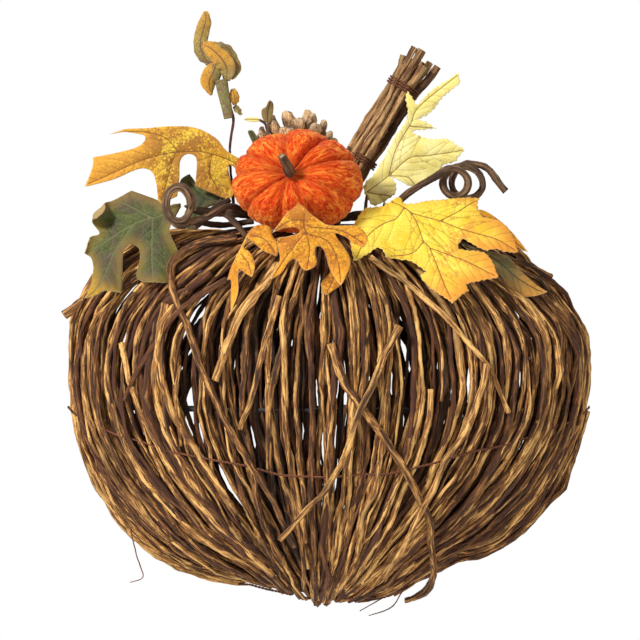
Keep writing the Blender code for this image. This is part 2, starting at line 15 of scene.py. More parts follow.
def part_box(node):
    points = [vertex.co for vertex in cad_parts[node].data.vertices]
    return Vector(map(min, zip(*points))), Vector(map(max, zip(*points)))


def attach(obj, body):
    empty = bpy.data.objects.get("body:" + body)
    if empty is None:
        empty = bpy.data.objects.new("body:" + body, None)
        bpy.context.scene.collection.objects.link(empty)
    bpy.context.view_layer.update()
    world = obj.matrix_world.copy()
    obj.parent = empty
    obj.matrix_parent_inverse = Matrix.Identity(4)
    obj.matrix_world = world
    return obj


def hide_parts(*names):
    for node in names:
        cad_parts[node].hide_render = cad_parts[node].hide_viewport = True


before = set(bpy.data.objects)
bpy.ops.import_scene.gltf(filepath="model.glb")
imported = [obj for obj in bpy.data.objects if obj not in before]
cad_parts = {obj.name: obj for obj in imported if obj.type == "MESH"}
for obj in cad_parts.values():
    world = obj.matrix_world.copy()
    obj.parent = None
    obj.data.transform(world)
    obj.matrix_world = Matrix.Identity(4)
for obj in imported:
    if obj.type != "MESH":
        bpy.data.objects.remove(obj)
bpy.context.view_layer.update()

# The vine surface, as the CAD model has it; fit_outline below then draws its vines in
HALF_WIDTH = 0.195
DEPTH = 0.125
BACK_EDGE = 0.008
WAIST_Z = -0.115
RISE = 0.120
FALL = 0.166
TOP_DIP = 0.030
UPPER_ROUNDNESS = 2 / 2.7
LOWER_ROUNDNESS = 1.0
TOP_SPREAD = 0.038
BOTTOM_SPREAD = 0.040
BOTTOM_CENTER_X = -0.006
TOP_GATHER_DEPTH = 0.28
BOTTOM_GATHER_DEPTH = 0.22

# Each lobe spans a range of angles, in degrees from the front, and has a number of bundles
LOBES = ((-90.0, -20.0, 4), (-13.0, 25.0, 3), (27.0, 90.0, 5))
LOBE_BULGE = 0.006
TWIG_STEP = 0.0028
TWIG_SIDES = 9
# How far a vine turns at its elbows, as a multiple of its kinks, and how far apart they are
ELBOW = 3.2
ELBOW_GAPS = (0.018, 0.055)
# A vine strays from its path in waves this long, and less within this distance of its ends
STRAY_LENGTH = 0.045
CALM_END = 0.02
# Length and size of the waves in its thickness, and in how its ridges wind around it
THICKNESS_WAVE = (0.03, 0.08)
TWIST_WAVE = (0.10, 1.6)
# Bark is rough by this share of its ridges. A knot swells a vine by a share in this range, over
# a length in radii
ROUGH_SHARE = 0.38
KNOT_SIZES = (0.05, 0.40)
KNOT_LENGTH = 1.1

# Camera and light
CAMERA_Y = -2.6
CAMERA_CENTER = (-0.0061, -0.0724)
VIEW_WIDTH = 0.4877
FOCUS_Y = -0.030
SENSOR = 36.0
FLOOR_Z = -0.80
FLOOR_SIZE = 8.0
AMBIENT = 0.37
LIGHT_TARGET = (0.0, -0.06, -0.06)
# name, place, size and power of each light
LIGHTS = (
    ("key", (-1.5, -1.8, 1.3), 0.5, 68.0),
    ("fill", (1.4, -1.7, 0.3), 1.2, 8.0),
    ("rim", (0.2, 0.9, 1.4), 0.8, 8.0),
)

wreath = bpy.data.collections.new("harvest_door_wreath")
bpy.context.scene.collection.children.link(wreath)


# ---------------------------------------------------------------- camera, light and floor


def build_camera():
    data = bpy.data.cameras.new("camera")
    data.sensor_width = SENSOR
    data.lens = SENSOR * (FOCUS_Y - CAMERA_Y) / VIEW_WIDTH
    data.clip_end = 20.0
    camera = bpy.data.objects.new("camera", data)
    camera.location = (CAMERA_CENTER[0], CAMERA_Y, CAMERA_CENTER[1])
    camera.rotation_euler = (radians(90), 0, 0)
    bpy.context.scene.collection.objects.link(camera)
    bpy.context.scene.camera = camera


def add_area_light(name, place, size, power):
    data = bpy.data.lights.new(name, "AREA")
    data.shape = "DISK"
    data.size = size
    data.energy = power
    light = bpy.data.objects.new(name, data)
    light.location = place
    aim = Vector(LIGHT_TARGET) - Vector(place)
    light.rotation_euler = aim.to_track_quat("-Z", "Y").to_euler()
    bpy.context.scene.collection.objects.link(light)


def build_stage():
    world = bpy.data.worlds.new("studio")
    world.use_nodes = True
    bpy.context.scene.world = world
    tree = world.node_tree
    tree.nodes.clear()
    path = tree.nodes.new("ShaderNodeLightPath")
    ambient = tree.nodes.new("ShaderNodeBackground")
    ambient.inputs["Color"].default_value = (1.0, 0.99, 0.97, 1)
    ambient.inputs["Strength"].default_value = AMBIENT
    backdrop = tree.nodes.new("ShaderNodeBackground")
    backdrop.inputs["Color"].default_value = (1, 1, 1, 1)
    backdrop.inputs["Strength"].default_value = 1.0
    mix = tree.nodes.new("ShaderNodeMixShader")
    out = tree.nodes.new("ShaderNodeOutputWorld")
    tree.links.new(path.outputs["Is Camera Ray"], mix.inputs["Fac"])
    tree.links.new(ambient.outputs[0], mix.inputs[1])
    tree.links.new(backdrop.outputs[0], mix.inputs[2])
    tree.links.new(mix.outputs[0], out.inputs["Surface"])

    bpy.ops.mesh.primitive_plane_add(size=FLOOR_SIZE, location=(0, 0, FLOOR_Z))
    floor = bpy.context.object
    floor.name = "floor"
    material = bpy.data.materials.new("pale_floor")
    material.use_nodes = True
    shader = material.node_tree.nodes["Principled BSDF"]
    shader.inputs["Base Color"].default_value = (0.9, 0.9, 0.89, 1)
    shader.inputs["Roughness"].default_value = 0.8
    floor.data.materials.append(material)

    for name, place, size, power in LIGHTS:
        add_area_light(name, place, size, power)
    bpy.context.scene.view_settings.view_transform = "Standard"


# ---------------------------------------------------------------- material tools


class Nodes:
    """A material's node tree with short calls for what these materials use."""

    def __init__(self, name):
        self.material = bpy.data.materials.new(name)
        self.material.use_nodes = True
        self.tree = self.material.node_tree
        self.shader = self.tree.nodes["Principled BSDF"]

    def add(self, kind, **settings):
        made = self.tree.nodes.new(kind)
        for key, value in settings.items():
            setattr(made, key, value)
        return made

    def join(self, source, target):
        self.tree.links.new(source, target)

    def attribute(self, name, output="Fac"):
        return self.add("ShaderNodeAttribute", attribute_name=name).outputs[output]

    def scaled(self, vector, scale):
        made = self.add("ShaderNodeVectorMath", operation="MULTIPLY")
        self.join(vector, made.inputs[0])
        made.inputs[1].default_value = scale
        return made.outputs[0]

    def noise(self, vector, scale, detail=4.0, roughness=0.55, distortion=0.0):
        made = self.add("ShaderNodeTexNoise")
        self.join(vector, made.inputs["Vector"])
        made.inputs["Scale"].default_value = scale
        made.inputs["Detail"].default_value = detail
        made.inputs["Roughness"].default_value = roughness
        made.inputs["Distortion"].default_value = distortion
        return made.outputs["Fac"]

    def math(self, operation, a, b, clamp=False):
        made = self.add("ShaderNodeMath", operation=operation, use_clamp=clamp)
        for slot, value in zip(made.inputs, (a, b)):
            if isinstance(value, (int, float)):
                slot.default_value = value
            else:
                self.join(value, slot)
        return made.outputs[0]

    def fade(self, value, start, end):
        """1 where value is at start, 0 where it is at end, smooth between."""
        made = self.add("ShaderNodeMapRange", interpolation_type="SMOOTHSTEP")
        self.join(value, made.inputs["Value"])
        made.inputs["From Min"].default_value = min(start, end)
        made.inputs["From Max"].default_value = max(start, end)
        made.inputs["To Min"].default_value = 1.0 if start < end else 0.0
        made.inputs["To Max"].default_value = 0.0 if start < end else 1.0
        return made.outputs["Result"]

    def ramp(self, value, stops):
        made = self.add("ShaderNodeValToRGB")
        self.join(value, made.inputs["Fac"])
        elements = made.color_ramp.elements
        while len(elements) < len(stops):
            elements.new(0.5)
        for element, (place, color) in zip(elements, stops):
            element.position = place
            element.color = (*color, 1.0)
        return made.outputs["Color"]

    def mix(self, factor, a, b):
        made = self.add("ShaderNodeMix", data_type="RGBA")
        for slot, value in zip((made.inputs[0], made.inputs[6], made.inputs[7]), (factor, a, b)):
            if isinstance(value, (int, float)):
                slot.default_value = value
            elif isinstance(value, tuple):
                slot.default_value = (*value, 1.0)
            else:
                self.join(value, slot)
        return made.outputs[2]

    def bump(self, height, distance, strength=1.0, below=None):
        made = self.add("ShaderNodeBump")
        made.inputs["Distance"].default_value = distance
        made.inputs["Strength"].default_value = strength
        self.join(height, made.inputs["Height"])
        if below is not None:
            self.join(below, made.inputs["Normal"])
        return made.outputs["Normal"]

    def weighed(self, value, weight):
        """A field or number times a weight."""
        return self.math("MULTIPLY", value, weight)

    def tint(self, color, field, start, end, weight, other):
        """Blend towards another colour: by the weight where the field is at start, to 0 at end."""
        return self.mix(self.weighed(self.fade(field, start, end), weight), color, other)

    def finish(self, color, roughness, normal, low, high, metallic=0.0):
        """Wire up the shader; roughness is a field that runs from low to high."""
        self.join(color, self.shader.inputs["Base Color"])
        made = self.add("ShaderNodeMapRange")
        self.join(roughness, made.inputs["Value"])
        made.inputs["To Min"].default_value = low
        made.inputs["To Max"].default_value = high
        self.join(made.outputs["Result"], self.shader.inputs["Roughness"])
        self.join(normal, self.shader.inputs["Normal"])
        self.shader.inputs["Metallic"].default_value = metallic
        return self.material


def bark_material(name, dark, mid, light, bright, red, fineness=1.0):
    """Bark with long streaks, loose flakes and a tone of its own on each vine."""
    n = Nodes(name)
    grain = n.attribute("grain", "Vector")
    tone = n.attribute("tone")
    streaks = n.noise(n.scaled(grain, (1.0, 0.07, 1.0)), 520 * fineness, 5, 0.62, 0.5)
    flakes = n.noise(n.scaled(grain, (1.0, 0.16, 1.0)), 330 * fineness, 5, 0.62, 0.9)
    fibres = n.noise(n.scaled(grain, (1.0, 0.05, 1.0)), 1500 * fineness, 3, 0.6, 0.2)
    patches = n.noise(n.scaled(grain, (1.0, 0.4, 1.0)), 45, 3, 0.5, 0.3)
    ribs = n.fade(streaks, 0.57, 0.43)
    plates = n.fade(flakes, 0.58, 0.44)
    threads = n.fade(fibres, 0.60, 0.42)
    both = n.math("ADD", n.weighed(ribs, 0.34), n.weighed(plates, 0.28))
    both = n.math("ADD", both, n.weighed(threads, 0.18))
    # Each vine's tone shifts the ramp: it differs at random, and the deeper vines' low tones are painted
    # shade
    lit = n.math("ADD", both, n.weighed(n.math("SUBTRACT", tone, 0.20), 0.55))
    color = n.ramp(lit, ((0.10, dark), (0.36, mid), (0.66, light), (0.94, bright)))
    ruddy = n.weighed(n.fade(tone, 0.05, 0.42), 0.55)
    color = n.mix(ruddy, color, red)
    color = n.tint(color, patches, 0.36, 0.50, 0.45, dark)
    pith = n.ramp(n.noise(grain, 1400, 3), ((0.3, (0.42, 0.27, 0.13)), (0.7, (0.72, 0.55, 0.33))))
    color = n.mix(n.attribute("cut"), color, pith)
    normal = n.bump(streaks, 0.0013, 1.0)
    normal = n.bump(flakes, 0.0012, 0.9, normal)
    normal = n.bump(fibres, 0.0004, 0.7, normal)
    return n.finish(color, flakes, normal, 0.72, 0.95)


def wire_material(name, dark, light, metallic):
    n = Nodes(name)
    place = n.add("ShaderNodeTexCoord").outputs["Object"]
    wear = n.noise(place, 700, 4)
    spots = n.noise(place, 120, 3)
    color = n.mix(spots, dark, light)
    normal = n.bump(wear, 0.0002, 0.6)
    return n.finish(color, wear, normal, 0.38, 0.65, metallic)


# ---------------------------------------------------------------- mesh tools


class Heap:
    """The vertices, faces and per-vertex facts of one piece, gathered part by part."""

    def __init__(self):
        self.verts = []
        self.faces = []
        self.facts = {"grain": [], "tone": [], "cut": []}
        self.count = 0

    def add(self, verts, faces, grain, tone, cut):
        self.verts.append(verts)
        self.faces.extend((np.asarray(f) + self.count).tolist() for f in faces)
        self.facts["grain"].append(grain)
        self.facts["tone"].append(np.broadcast_to(tone, len(verts)))
        self.facts["cut"].append(cut)
        self.count += len(verts)

    def make(self, name, material):
        mesh = bpy.data.meshes.new(name)
        faces = []
        for block in self.faces:
            faces.extend(block)
        mesh.from_pydata(np.concatenate(self.verts).tolist(), [], faces)
        store_vector(mesh, "grain", np.concatenate(self.facts["grain"]))
        store_value(mesh, "tone", np.concatenate(self.facts["tone"]))
        store_value(mesh, "cut", np.concatenate(self.facts["cut"]))
        return finish_mesh(name, mesh, material)


def store_vector(mesh, name, values):
    made = mesh.attributes.new(name, "FLOAT_VECTOR", "POINT")
    made.data.foreach_set("vector", np.asarray(values, dtype=np.float32).ravel())


def store_value(mesh, name, values):
    made = mesh.attributes.new(name, "FLOAT", "POINT")
    made.data.foreach_set("value", np.asarray(values, dtype=np.float32))


def finish_mesh(name, mesh, material):
    mesh.materials.append(material)
    mesh.polygons.foreach_set("use_smooth", [True] * len(mesh.polygons))
    made = bpy.data.objects.new(name, mesh)
    wreath.objects.link(made)
    return made


def settle(piece, body, node=None):
    """Ride a piece on a body and hide the CAD node it stands for, if any."""
    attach(piece, body)
    if node:
        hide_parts(node)


def resample(path, step):
    """The same path with even spacing, and the length at each of its points."""
    path = np.asarray(path, dtype=float)
    gaps = np.linalg.norm(np.diff(path, axis=0), axis=1)
    along = np.concatenate([[0.0], np.cumsum(gaps)])
    count = max(int(along[-1] / step), 3)
    even = np.linspace(0, along[-1], count + 1)
    return np.stack([np.interp(even, along, path[:, i]) for i in range(3)], -1), even


def smooth_route(route, steps=12):
    """Points along a Catmull-Rom curve through a short route."""
    route = np.asarray(route, dtype=float)
    ends = np.vstack([2 * route[0] - route[1], route, 2 * route[-1] - route[-2]])
    path = []
    for k in range(len(route) - 1):
        a, b, c, d = ends[k : k + 4]
        for s in np.arange(steps) / steps:
            cubic = (2 * a - 5 * b + 4 * c - d) * s**2 + (3 * b - a - 3 * c + d) * s**3
            path.append(0.5 * (2 * b + (c - a) * s + cubic))
    path.append(route[-1])
    return np.array(path)


def wander(rng, along, wavelength, size):
    """A smooth random wave along a vine."""
    total = np.zeros_like(along)
    for octave, share in ((1.0, 0.6), (0.47, 0.3), (0.22, 0.15)):
        total += share * np.sin(2 * pi * along / (wavelength * octave) + rng.uniform(0, 2 * pi))
    return total * size


def frames_along(path):
    """The tangent and two turning-free cross directions at each point of a path."""
    tangent = np.gradient(path, axis=0)
    tangent /= np.linalg.norm(tangent, axis=1)[:, None]
    side = np.zeros_like(path)
    first = np.cross(tangent[0], (0.31, 0.87, 0.39))
    side[0] = first / np.linalg.norm(first)
    for k in range(1, len(path)):
        carried = side[k - 1] - tangent[k] * np.dot(side[k - 1], tangent[k])
        side[k] = carried / np.linalg.norm(carried)
    return tangent, side, np.cross(tangent, side)


def tube(path, radius, sides):
    """Rings of points around a path, for a radius per ring or per ring and side."""
    _, side, other = frames_along(path)
    turn = np.linspace(0, 2 * pi, sides, endpoint=False)
    radius = np.broadcast_to(np.asarray(radius, dtype=float).reshape(len(path), -1), (len(path), sides))
    around = np.cos(turn)[None, :, None] * side[:, None] + np.sin(turn)[None, :, None] * other[:, None]
    return path[:, None] + around * radius[..., None]


def ring_faces(rings, sides):
    """The side walls of a tube, and a fan at each end around one more point each."""
    start = np.arange(rings - 1)[:, None] * sides
    here = np.arange(sides)[None]
    after = (here + 1) % sides
    walls = np.stack([start + here, start + after, start + sides + after, start + sides + here], -1)
    first, last = rings * sides, rings * sides + 1
    top = (rings - 1) * sides
    caps = []
    for k in range(sides):
        following = (k + 1) % sides
        caps.append((following, k, first))
        caps.append((top + k, top + following, last))
    return [walls.reshape(-1, 4), np.array(caps)]


def add_twig(heap, rng, path, radius, taper=0.75, tone=None, sides=TWIG_SIDES, step=TWIG_STEP,
             ridges=0.13, kinks=0.0005, knots=True):
    """One vine: a tapered tube with bark ridges, swollen knots and small kinks."""
    path, along = resample(path, step)
    length = along[-1]
    calm = np.minimum(1.0, np.minimum(along, length - along) / CALM_END)
    drift = np.stack([wander(rng, along, STRAY_LENGTH, kinks) for _ in range(3)], -1)
    elbows = np.cumsum(rng.uniform(*ELBOW_GAPS, int(length / ELBOW_GAPS[0]) + 2))
    bends = rng.normal(0, ELBOW * kinks, (len(elbows), 3))
    drift = drift + np.stack([np.interp(along, elbows, bends[:, i]) for i in range(3)], -1)
    path = path + drift * calm[:, None]
    turn = np.linspace(0, 2 * pi, sides, endpoint=False)[None]
    width = radius * (1 + (taper - 1) * along / length)
    width = width * (1 + wander(rng, along, *THICKNESS_WAVE))
    twist = wander(rng, along, *TWIST_WAVE)[:, None]
    shape = 1 + ridges * np.sin(4 * turn + twist) + 0.6 * ridges * np.sin(2 * turn - 1.7 * twist)
    shape = shape + rng.normal(0, ROUGH_SHARE * ridges, (len(path), sides))
    if knots:
        for place in elbows:
            if place > length:
                break
            swell = np.exp(-(((along - place) / (KNOT_LENGTH * radius)) ** 2))[:, None]
            lean = 0.55 + 0.45 * np.cos(turn - rng.uniform(0, 2 * pi))
            shape = shape + rng.uniform(*KNOT_SIZES) * swell * lean
    rings = tube(path, width[:, None] * shape, sides)
    verts = np.concatenate([rings.reshape(-1, 3), path[:1], path[-1:]])
    seed = rng.uniform(0, 9.0)
    tone = rng.uniform(0.0, 1.0) if tone is None else tone
    grain = np.stack([
        width[:, None] * np.cos(turn) + seed,
        np.broadcast_to(along[:, None] + 0.7 * seed, shape.shape),
        width[:, None] * np.sin(turn),
    ], -1).reshape(-1, 3)
    grain = np.concatenate([grain, [[seed, 0.7 * seed, 0.0], [seed, 0.7 * seed + length, 0.0]]])
    cut = np.zeros(len(verts))
    cut[-2:] = 1.0
    heap.add(verts, ring_faces(len(path), sides), grain, tone, cut)


# ---------------------------------------------------------------- the vine surface


def surface(angle, t):
    """Points on the vine surface, for angles in radians (0 in front) and t from top to bottom."""
    turn = np.pi * t
    upper = t < 0.5
    power = np.where(upper, UPPER_ROUNDNESS, LOWER_ROUNDNESS)
    reach = np.clip(np.sin(turn), 0, 1) ** power
    drop = np.abs(np.cos(turn)) ** power
    z = np.where(upper, WAIST_Z + RISE * drop - TOP_DIP * (1 - reach) ** 2, WAIST_Z - FALL * drop)
    spread = np.where(upper, TOP_SPREAD, BOTTOM_SPREAD)
    center = np.where(upper, 0.0, BOTTOM_CENTER_X)
    gather = np.where(upper, TOP_GATHER_DEPTH, BOTTOM_GATHER_DEPTH)
    x = (center + spread * np.sin(angle)) * (1 - reach) + HALF_WIDTH * reach * np.sin(angle)
    y = -BACK_EDGE - (DEPTH - BACK_EDGE) * (gather + (1 - gather) * reach) * np.cos(angle)
    return np.stack([x, y, z], -1)


def outward(angle, t):
    """The surface's unit normals, pointing away from the door."""
    small = 0.002
    t = np.clip(t, 2 * small, 1 - 2 * small)
    along = surface(angle, t + small) - surface(angle, t - small)
    around = surface(angle + small, t) - surface(angle - small, t)
    normal = np.cross(along, around)
    return normal / np.linalg.norm(normal, axis=-1)[..., None]


def over(angle_deg, t, lift):
    """Points at a height over the vine surface."""
    angle = np.radians(angle_deg)
    angle, t = np.broadcast_arrays(np.asarray(angle, dtype=float), np.asarray(t, dtype=float))
    return surface(angle, t) + outward(angle, t) * np.asarray(lift)[..., None]


def t_at_height(z):
    """Where on a vine from top to bottom a height is reached."""
    grid = np.linspace(0.16, 0.985, 800)
    heights = surface(np.zeros_like(grid), grid)[:, 2]
    return np.interp(-np.asarray(z, dtype=float), -heights, grid)


def over_front(x, z, lift):
    """Points over the front of the vine surface at given x and z."""
    t = t_at_height(z)
    upper = t < 0.5
    power = np.where(upper, UPPER_ROUNDNESS, LOWER_ROUNDNESS)
    reach = np.sin(np.pi * t) ** power
    spread = np.where(upper, TOP_SPREAD, BOTTOM_SPREAD)
    center = np.where(upper, 0.0, BOTTOM_CENTER_X)
    share = (np.asarray(x) - center * (1 - reach)) / (spread * (1 - reach) + HALF_WIDTH * reach)
    return over(np.degrees(np.arcsin(np.clip(share, -0.999, 0.999))), t, lift)


# ---------------------------------------------------------------- vines


def vine_run(start=0.012, end=0.988, count=240):
    """Values of t along a vine, closer together at its ends."""
    even = 0.5 - 0.5 * np.cos(np.linspace(0, np.pi, count))
    return start + (end - start) * even


def lobe_lift(angle, low, high):
    """How far a lobe bulges out: most in its middle, and sunk at its edges."""
    share = (angle - (low + high) / 2) / ((high - low) / 2)
    return LOBE_BULGE * (0.6 - share**2)


# Layers of a bundle from the outside in: depth, number of twigs, and their range of tone. The deeper layers
# keep to lower, darker tones as painted shade
TWIG_LAYERS = (
    (0.0024, 9, (0.00, 1.00)),
    (-0.0034, 8, (0.00, 0.80)),
    (-0.0095, 6, (0.00, 0.40)),
    (-0.0180, 6, (0.00, 0.15)),
)
# How far a vine's place strays from even spacing, at its ends and at its middle
SHARE_SPREAD = 0.12
MID_SPREAD = 0.16
# Some vines cross over into a neighbouring bundle on their way down, by this much
CROSSING_SHARE = 0.38
CROSSING_REACH = (0.5, 1.6)
# Where whole and broken vines start and end, as shares of the way from top to bottom
STARTS = (0.006, 0.03)
ENDS = (0.935, 0.995)
BROKEN_SHARE = 0.16
BROKEN_STARTS = (0.22, 0.55)
BROKEN_ENDS = (0.50, 0.85)
# The thinnest vine, and how much thicker one can be
THINNEST = 0.0011
THICKER = 0.0021
FLIPPED_SHARE = 0.4
# How far the lower ends of the vines reach down, and where on a vine that starts
RAGGED = (-0.006, 0.008)
RAGGED_FROM = 0.85
# How much closer to the middle the inner vines run near their ends than at the waist
FAN = 0.50
# Stubs of broken vines at both shoulders, by bundle: route, radius, taper and tone
STUBS = {
    1: (((-0.1760, -0.020, -0.0520), (-0.1880, -0.024, -0.0600), (-0.2010, -0.028, -0.0690)),
        0.0036, 0.95, 0.55),
    10: (((0.1420, -0.052, -0.0270), (0.1560, -0.048, -0.0330), (0.1690, -0.042, -0.0400)),
         0.0030, 0.9, 0.4),
}
# The lower edge rises on both sides of the bottom ties, and the right shoulder slopes in
EDGE_RISE_X = (-0.150, -0.060, -0.014, 0.042, 0.098, 0.165)
EDGE_RISE = (0.0, 0.0095, 0.0, 0.0, 0.016, 0.0)
EDGE_RISE_Z = (-0.276, -0.225)
SHOULDER_Z = (-0.085, -0.057, -0.030, 0.000)
SHOULDER_PULL = (0.0, 0.0076, 0.015, 0.017)
SHOULDER_X = (0.090, 0.150)


def fit_outline(path):
    """Draws a vine in at the lower edge and at the right shoulder of the pumpkin form."""
    x, z = path[:, 0].copy(), path[:, 2].copy()
    low = np.interp(z, EDGE_RISE_Z, (1.0, 0.0))
    path[:, 2] += np.interp(x, EDGE_RISE_X, EDGE_RISE) * low * low * (3 - 2 * low)
    path[:, 0] -= np.interp(z, SHOULDER_Z, SHOULDER_PULL) * np.interp(x, SHOULDER_X, (0.0, 1.0))
    return path


def build_bundle(number, low, high, lobe):
    """One bundle: layers of vines between two angles, some of them broken or crossing over."""
    rng = np.random.RandomState(100 + number)
    heap = Heap()
    middle, half = (low + high) / 2, (high - low) / 2
    for depth, count, shaded_tones in TWIG_LAYERS:
        for k in range(count):
            share = -1 + 2 * (k + 0.5) / count
            top_share = share + rng.normal(0, SHARE_SPREAD)
            low_share = share + rng.normal(0, SHARE_SPREAD)
            mid_share = 1.08 * share + rng.normal(0, MID_SPREAD)
            if rng.uniform() < CROSSING_SHARE:
                low_share = share + rng.choice((-1, 1)) * rng.uniform(*CROSSING_REACH)
            start, end = rng.uniform(*STARTS), rng.uniform(*ENDS)
            broken = depth > -0.005 and rng.uniform() < BROKEN_SHARE
            if broken and rng.uniform() < 0.5:
                start = rng.uniform(*BROKEN_STARTS)
            elif broken:
                end = rng.uniform(*BROKEN_ENDS)
            t = vine_run(start, end)
            rise = np.sin(np.pi * t)
            shares = np.where(t < 0.5, top_share, low_share) * (1 - rise) + mid_share * rise
            sway = wander(rng, t, 0.8, 0.16 * half) * rise
            angle = np.clip(middle + half * shares + sway, -91.0, 91.0)
            narrowing = FAN * (1 - (angle / 91.0) ** 4)
            angle = angle * (1 - narrowing * (1 - rise**3))
            lift = depth + wander(rng, t, 0.5, 0.0018) + lobe_lift(angle, *lobe) * rise
            radius = THINNEST + THICKER * rng.uniform() ** 1.5
            path = over(angle, t, lift * (0.35 + 0.65 * rise))
            path[:, 2] -= rng.uniform(*RAGGED) * np.clip((t - RAGGED_FROM) / (1 - RAGGED_FROM), 0, 1) ** 2
            path[:, 1] = np.minimum(path[:, 1], -radius - 0.001)
            path = fit_outline(path)
            flip = rng.uniform() < FLIPPED_SHARE
            # The tone drawn from the layer's range darkens the deeper vines as painted shade
            add_twig(heap, rng, path[::-1] if flip else path, radius, 0.70, rng.uniform(*shaded_tones), ridges=0.16)
    return heap, rng


def build_bundles(bark):
    number = 0
    for low, high, count in LOBES:
        step = (high - low) / count
        for k in range(count):
            number += 1
            heap, rng = build_bundle(number, low + k * step, low + (k + 1) * step, (low, high))
            if number in STUBS:
                route, radius, taper, tone = STUBS[number]
                add_twig(heap, rng, smooth_route(route), radius, taper, tone)
            piece = heap.make(f"vines_{number:02d}", bark)
            settle(piece, "root", f"vine_bundle_{number:02d}")


# Vines seen in the hollows between the lobes, painted dark as shade: the angles they fill, and their number
HOLLOWS = (("hollow_vines_left", -28.0, -6.0, 26), ("hollow_vines_right", 21.0, 32.0, 9))
HOLLOW_DEPTH = -0.016


def build_hollows(bark):
    """Vines that lie deep in the hollows between the lobes, darkened as painted shade."""
    for number, (name, low, high, count) in enumerate(HOLLOWS):
        rng = np.random.RandomState(250 + number)
        heap = Heap()
        for k in range(count):
            t = vine_run(rng.uniform(0.02, 0.06), rng.uniform(0.94, 0.985), 160)
            rise = np.sin(np.pi * t)
            angle = low + (high - low) * (k + 0.5) / count + wander(rng, t, 0.8, 3.0) * rise
            angle = angle + rng.normal(0, 3.0) * (t - 0.5)
            depth = HOLLOW_DEPTH * rng.uniform(0.6, 1.7)
            path = over(angle * (1 - FAN * (1 - rise**3)), t, depth * (0.3 + 0.7 * rise))
            # Low tones keep these vines darker still, as painted shade
            add_twig(heap, rng, path, rng.uniform(0.0013, 0.0028), 0.75, rng.uniform(0.0, 0.45))
        settle(heap.make(name, bark), "root")


BACK_SHARES = (-0.62, -0.24, 0.20, 0.60)
BACK_TWIGS = 17


def build_back_vines(bark):
    """Each back vine is a few twigs that run down the open back, darkened as painted shade."""
    for number, share in enumerate(BACK_SHARES, start=1):
        rng = np.random.RandomState(300 + number)
        heap = Heap()
        for k in range(BACK_TWIGS):
            s = np.linspace(0, 1, 60)
            own = share + rng.uniform(-0.21, 0.21) if k else share
            bow = np.sin(np.pi * s) ** 0.7
            x = own * (0.050 + 0.125 * bow) + wander(rng, s, 0.9, 0.007) * bow
            y = -0.0125 - 0.006 * (k % 5) * bow
            z = -0.040 - 0.226 * s
            path = np.stack([x, y, z], -1)
            # Low tones on the shaded bark darken these twigs as painted shade
            add_twig(heap, rng, path, rng.uniform(0.0017, 0.0028), 0.8, rng.uniform(0.0, 0.5))
        piece = heap.make(f"back_vines_{number}", bark)
        settle(piece, "root", f"back_vine_{number}")


# name, lift, radius, tone and the (x, z) places that the vine passes
CROSSING_VINES = (
    ("crossing_vine_left", 0.0085, 0.0029, 0.35,
     ((-0.066, -0.018), (-0.096, -0.023), (-0.111, -0.034), (-0.113, -0.048), (-0.109, -0.062),
      (-0.103, -0.077), (-0.093, -0.106), (-0.080, -0.135), (-0.060, -0.171), (-0.040, -0.205),
      (-0.024, -0.236))),
    ("crossing_vine_center", 0.0095, 0.0034, 0.50,
     ((0.002, -0.090), (0.011, -0.118), (0.023, -0.133), (0.047, -0.167), (0.069, -0.209),
      (0.075, -0.235), (0.075, -0.262), (0.058, -0.276))),
    ("crossing_vine_right", 0.0130, 0.0027, 0.85,
     ((0.112, -0.105), (0.098, -0.145), (0.076, -0.196), (0.066, -0.212), (0.040, -0.257))),
    ("crossing_vine_diagonal", 0.0140, 0.0027, 0.75,
     ((0.050, -0.078), (0.022, -0.136), (0.002, -0.181), (-0.011, -0.204), (-0.034, -0.228))),
    ("shoulder_vine", 0.0080, 0.0024, 0.95,
     ((0.030, -0.030), (0.056, -0.045), (0.077, -0.063), (0.098, -0.088), (0.116, -0.112),
      (0.130, -0.140))),
)
# Vines of the left lobe that lie loose over its bundles, in the same form
LOOSE_VINES = (
    ("loose_vine_arc", 0.0080, 0.0022, 0.10,
     ((-0.073, -0.045), (-0.099, -0.059), (-0.115, -0.072), (-0.128, -0.091), (-0.139, -0.113),
      (-0.147, -0.132))),
    ("loose_vine_golden", 0.0060, 0.0036, 0.90,
     ((-0.036, -0.034), (-0.063, -0.067), (-0.073, -0.089), (-0.082, -0.117))),
    ("loose_vine_knobbed", 0.0055, 0.0026, 0.55,
     ((-0.035, -0.056), (-0.047, -0.089), (-0.053, -0.118), (-0.064, -0.152))),
    ("loose_vine_inner", 0.0040, 0.0028, 0.40,
     ((-0.030, -0.082), (-0.040, -0.115), (-0.044, -0.148), (-0.043, -0.181))),
    ("loose_vine_thin", 0.0075, 0.0014, 0.70,
     ((-0.107, -0.106), (-0.105, -0.135), (-0.106, -0.164))),
    ("loose_vine_upright", 0.0065, 0.0030, 0.75,
     ((-0.118, -0.062), (-0.124, -0.090), (-0.118, -0.125), (-0.098, -0.166), (-0.066, -0.214))),
    ("loose_vine_long", 0.0055, 0.0027, 0.05,
     ((-0.085, -0.040), (-0.122, -0.066), (-0.135, -0.105), (-0.128, -0.150), (-0.098, -0.200),
      (-0.060, -0.245))),
    ("loose_vine_crossed", 0.0070, 0.0024, 0.80,
     ((-0.150, -0.090), (-0.138, -0.140), (-0.112, -0.185), (-0.075, -0.230), (-0.040, -0.258))),
)


def lay_vine(name, node, seed, vine, bark, taper, **form):
    """A vine over the front of the form."""
    lift, radius, tone, route = vine
    guide = smooth_route([(x, 0, z) for x, z in route])
    path = over_front(guide[:, 0], guide[:, 2], np.full(len(guide), lift))
    heap = Heap()
    rng = np.random.RandomState(seed)
    add_twig(heap, rng, path, radius, taper, tone, sides=12, step=0.003, **form)
    settle(heap.make(name, bark), "root", node)


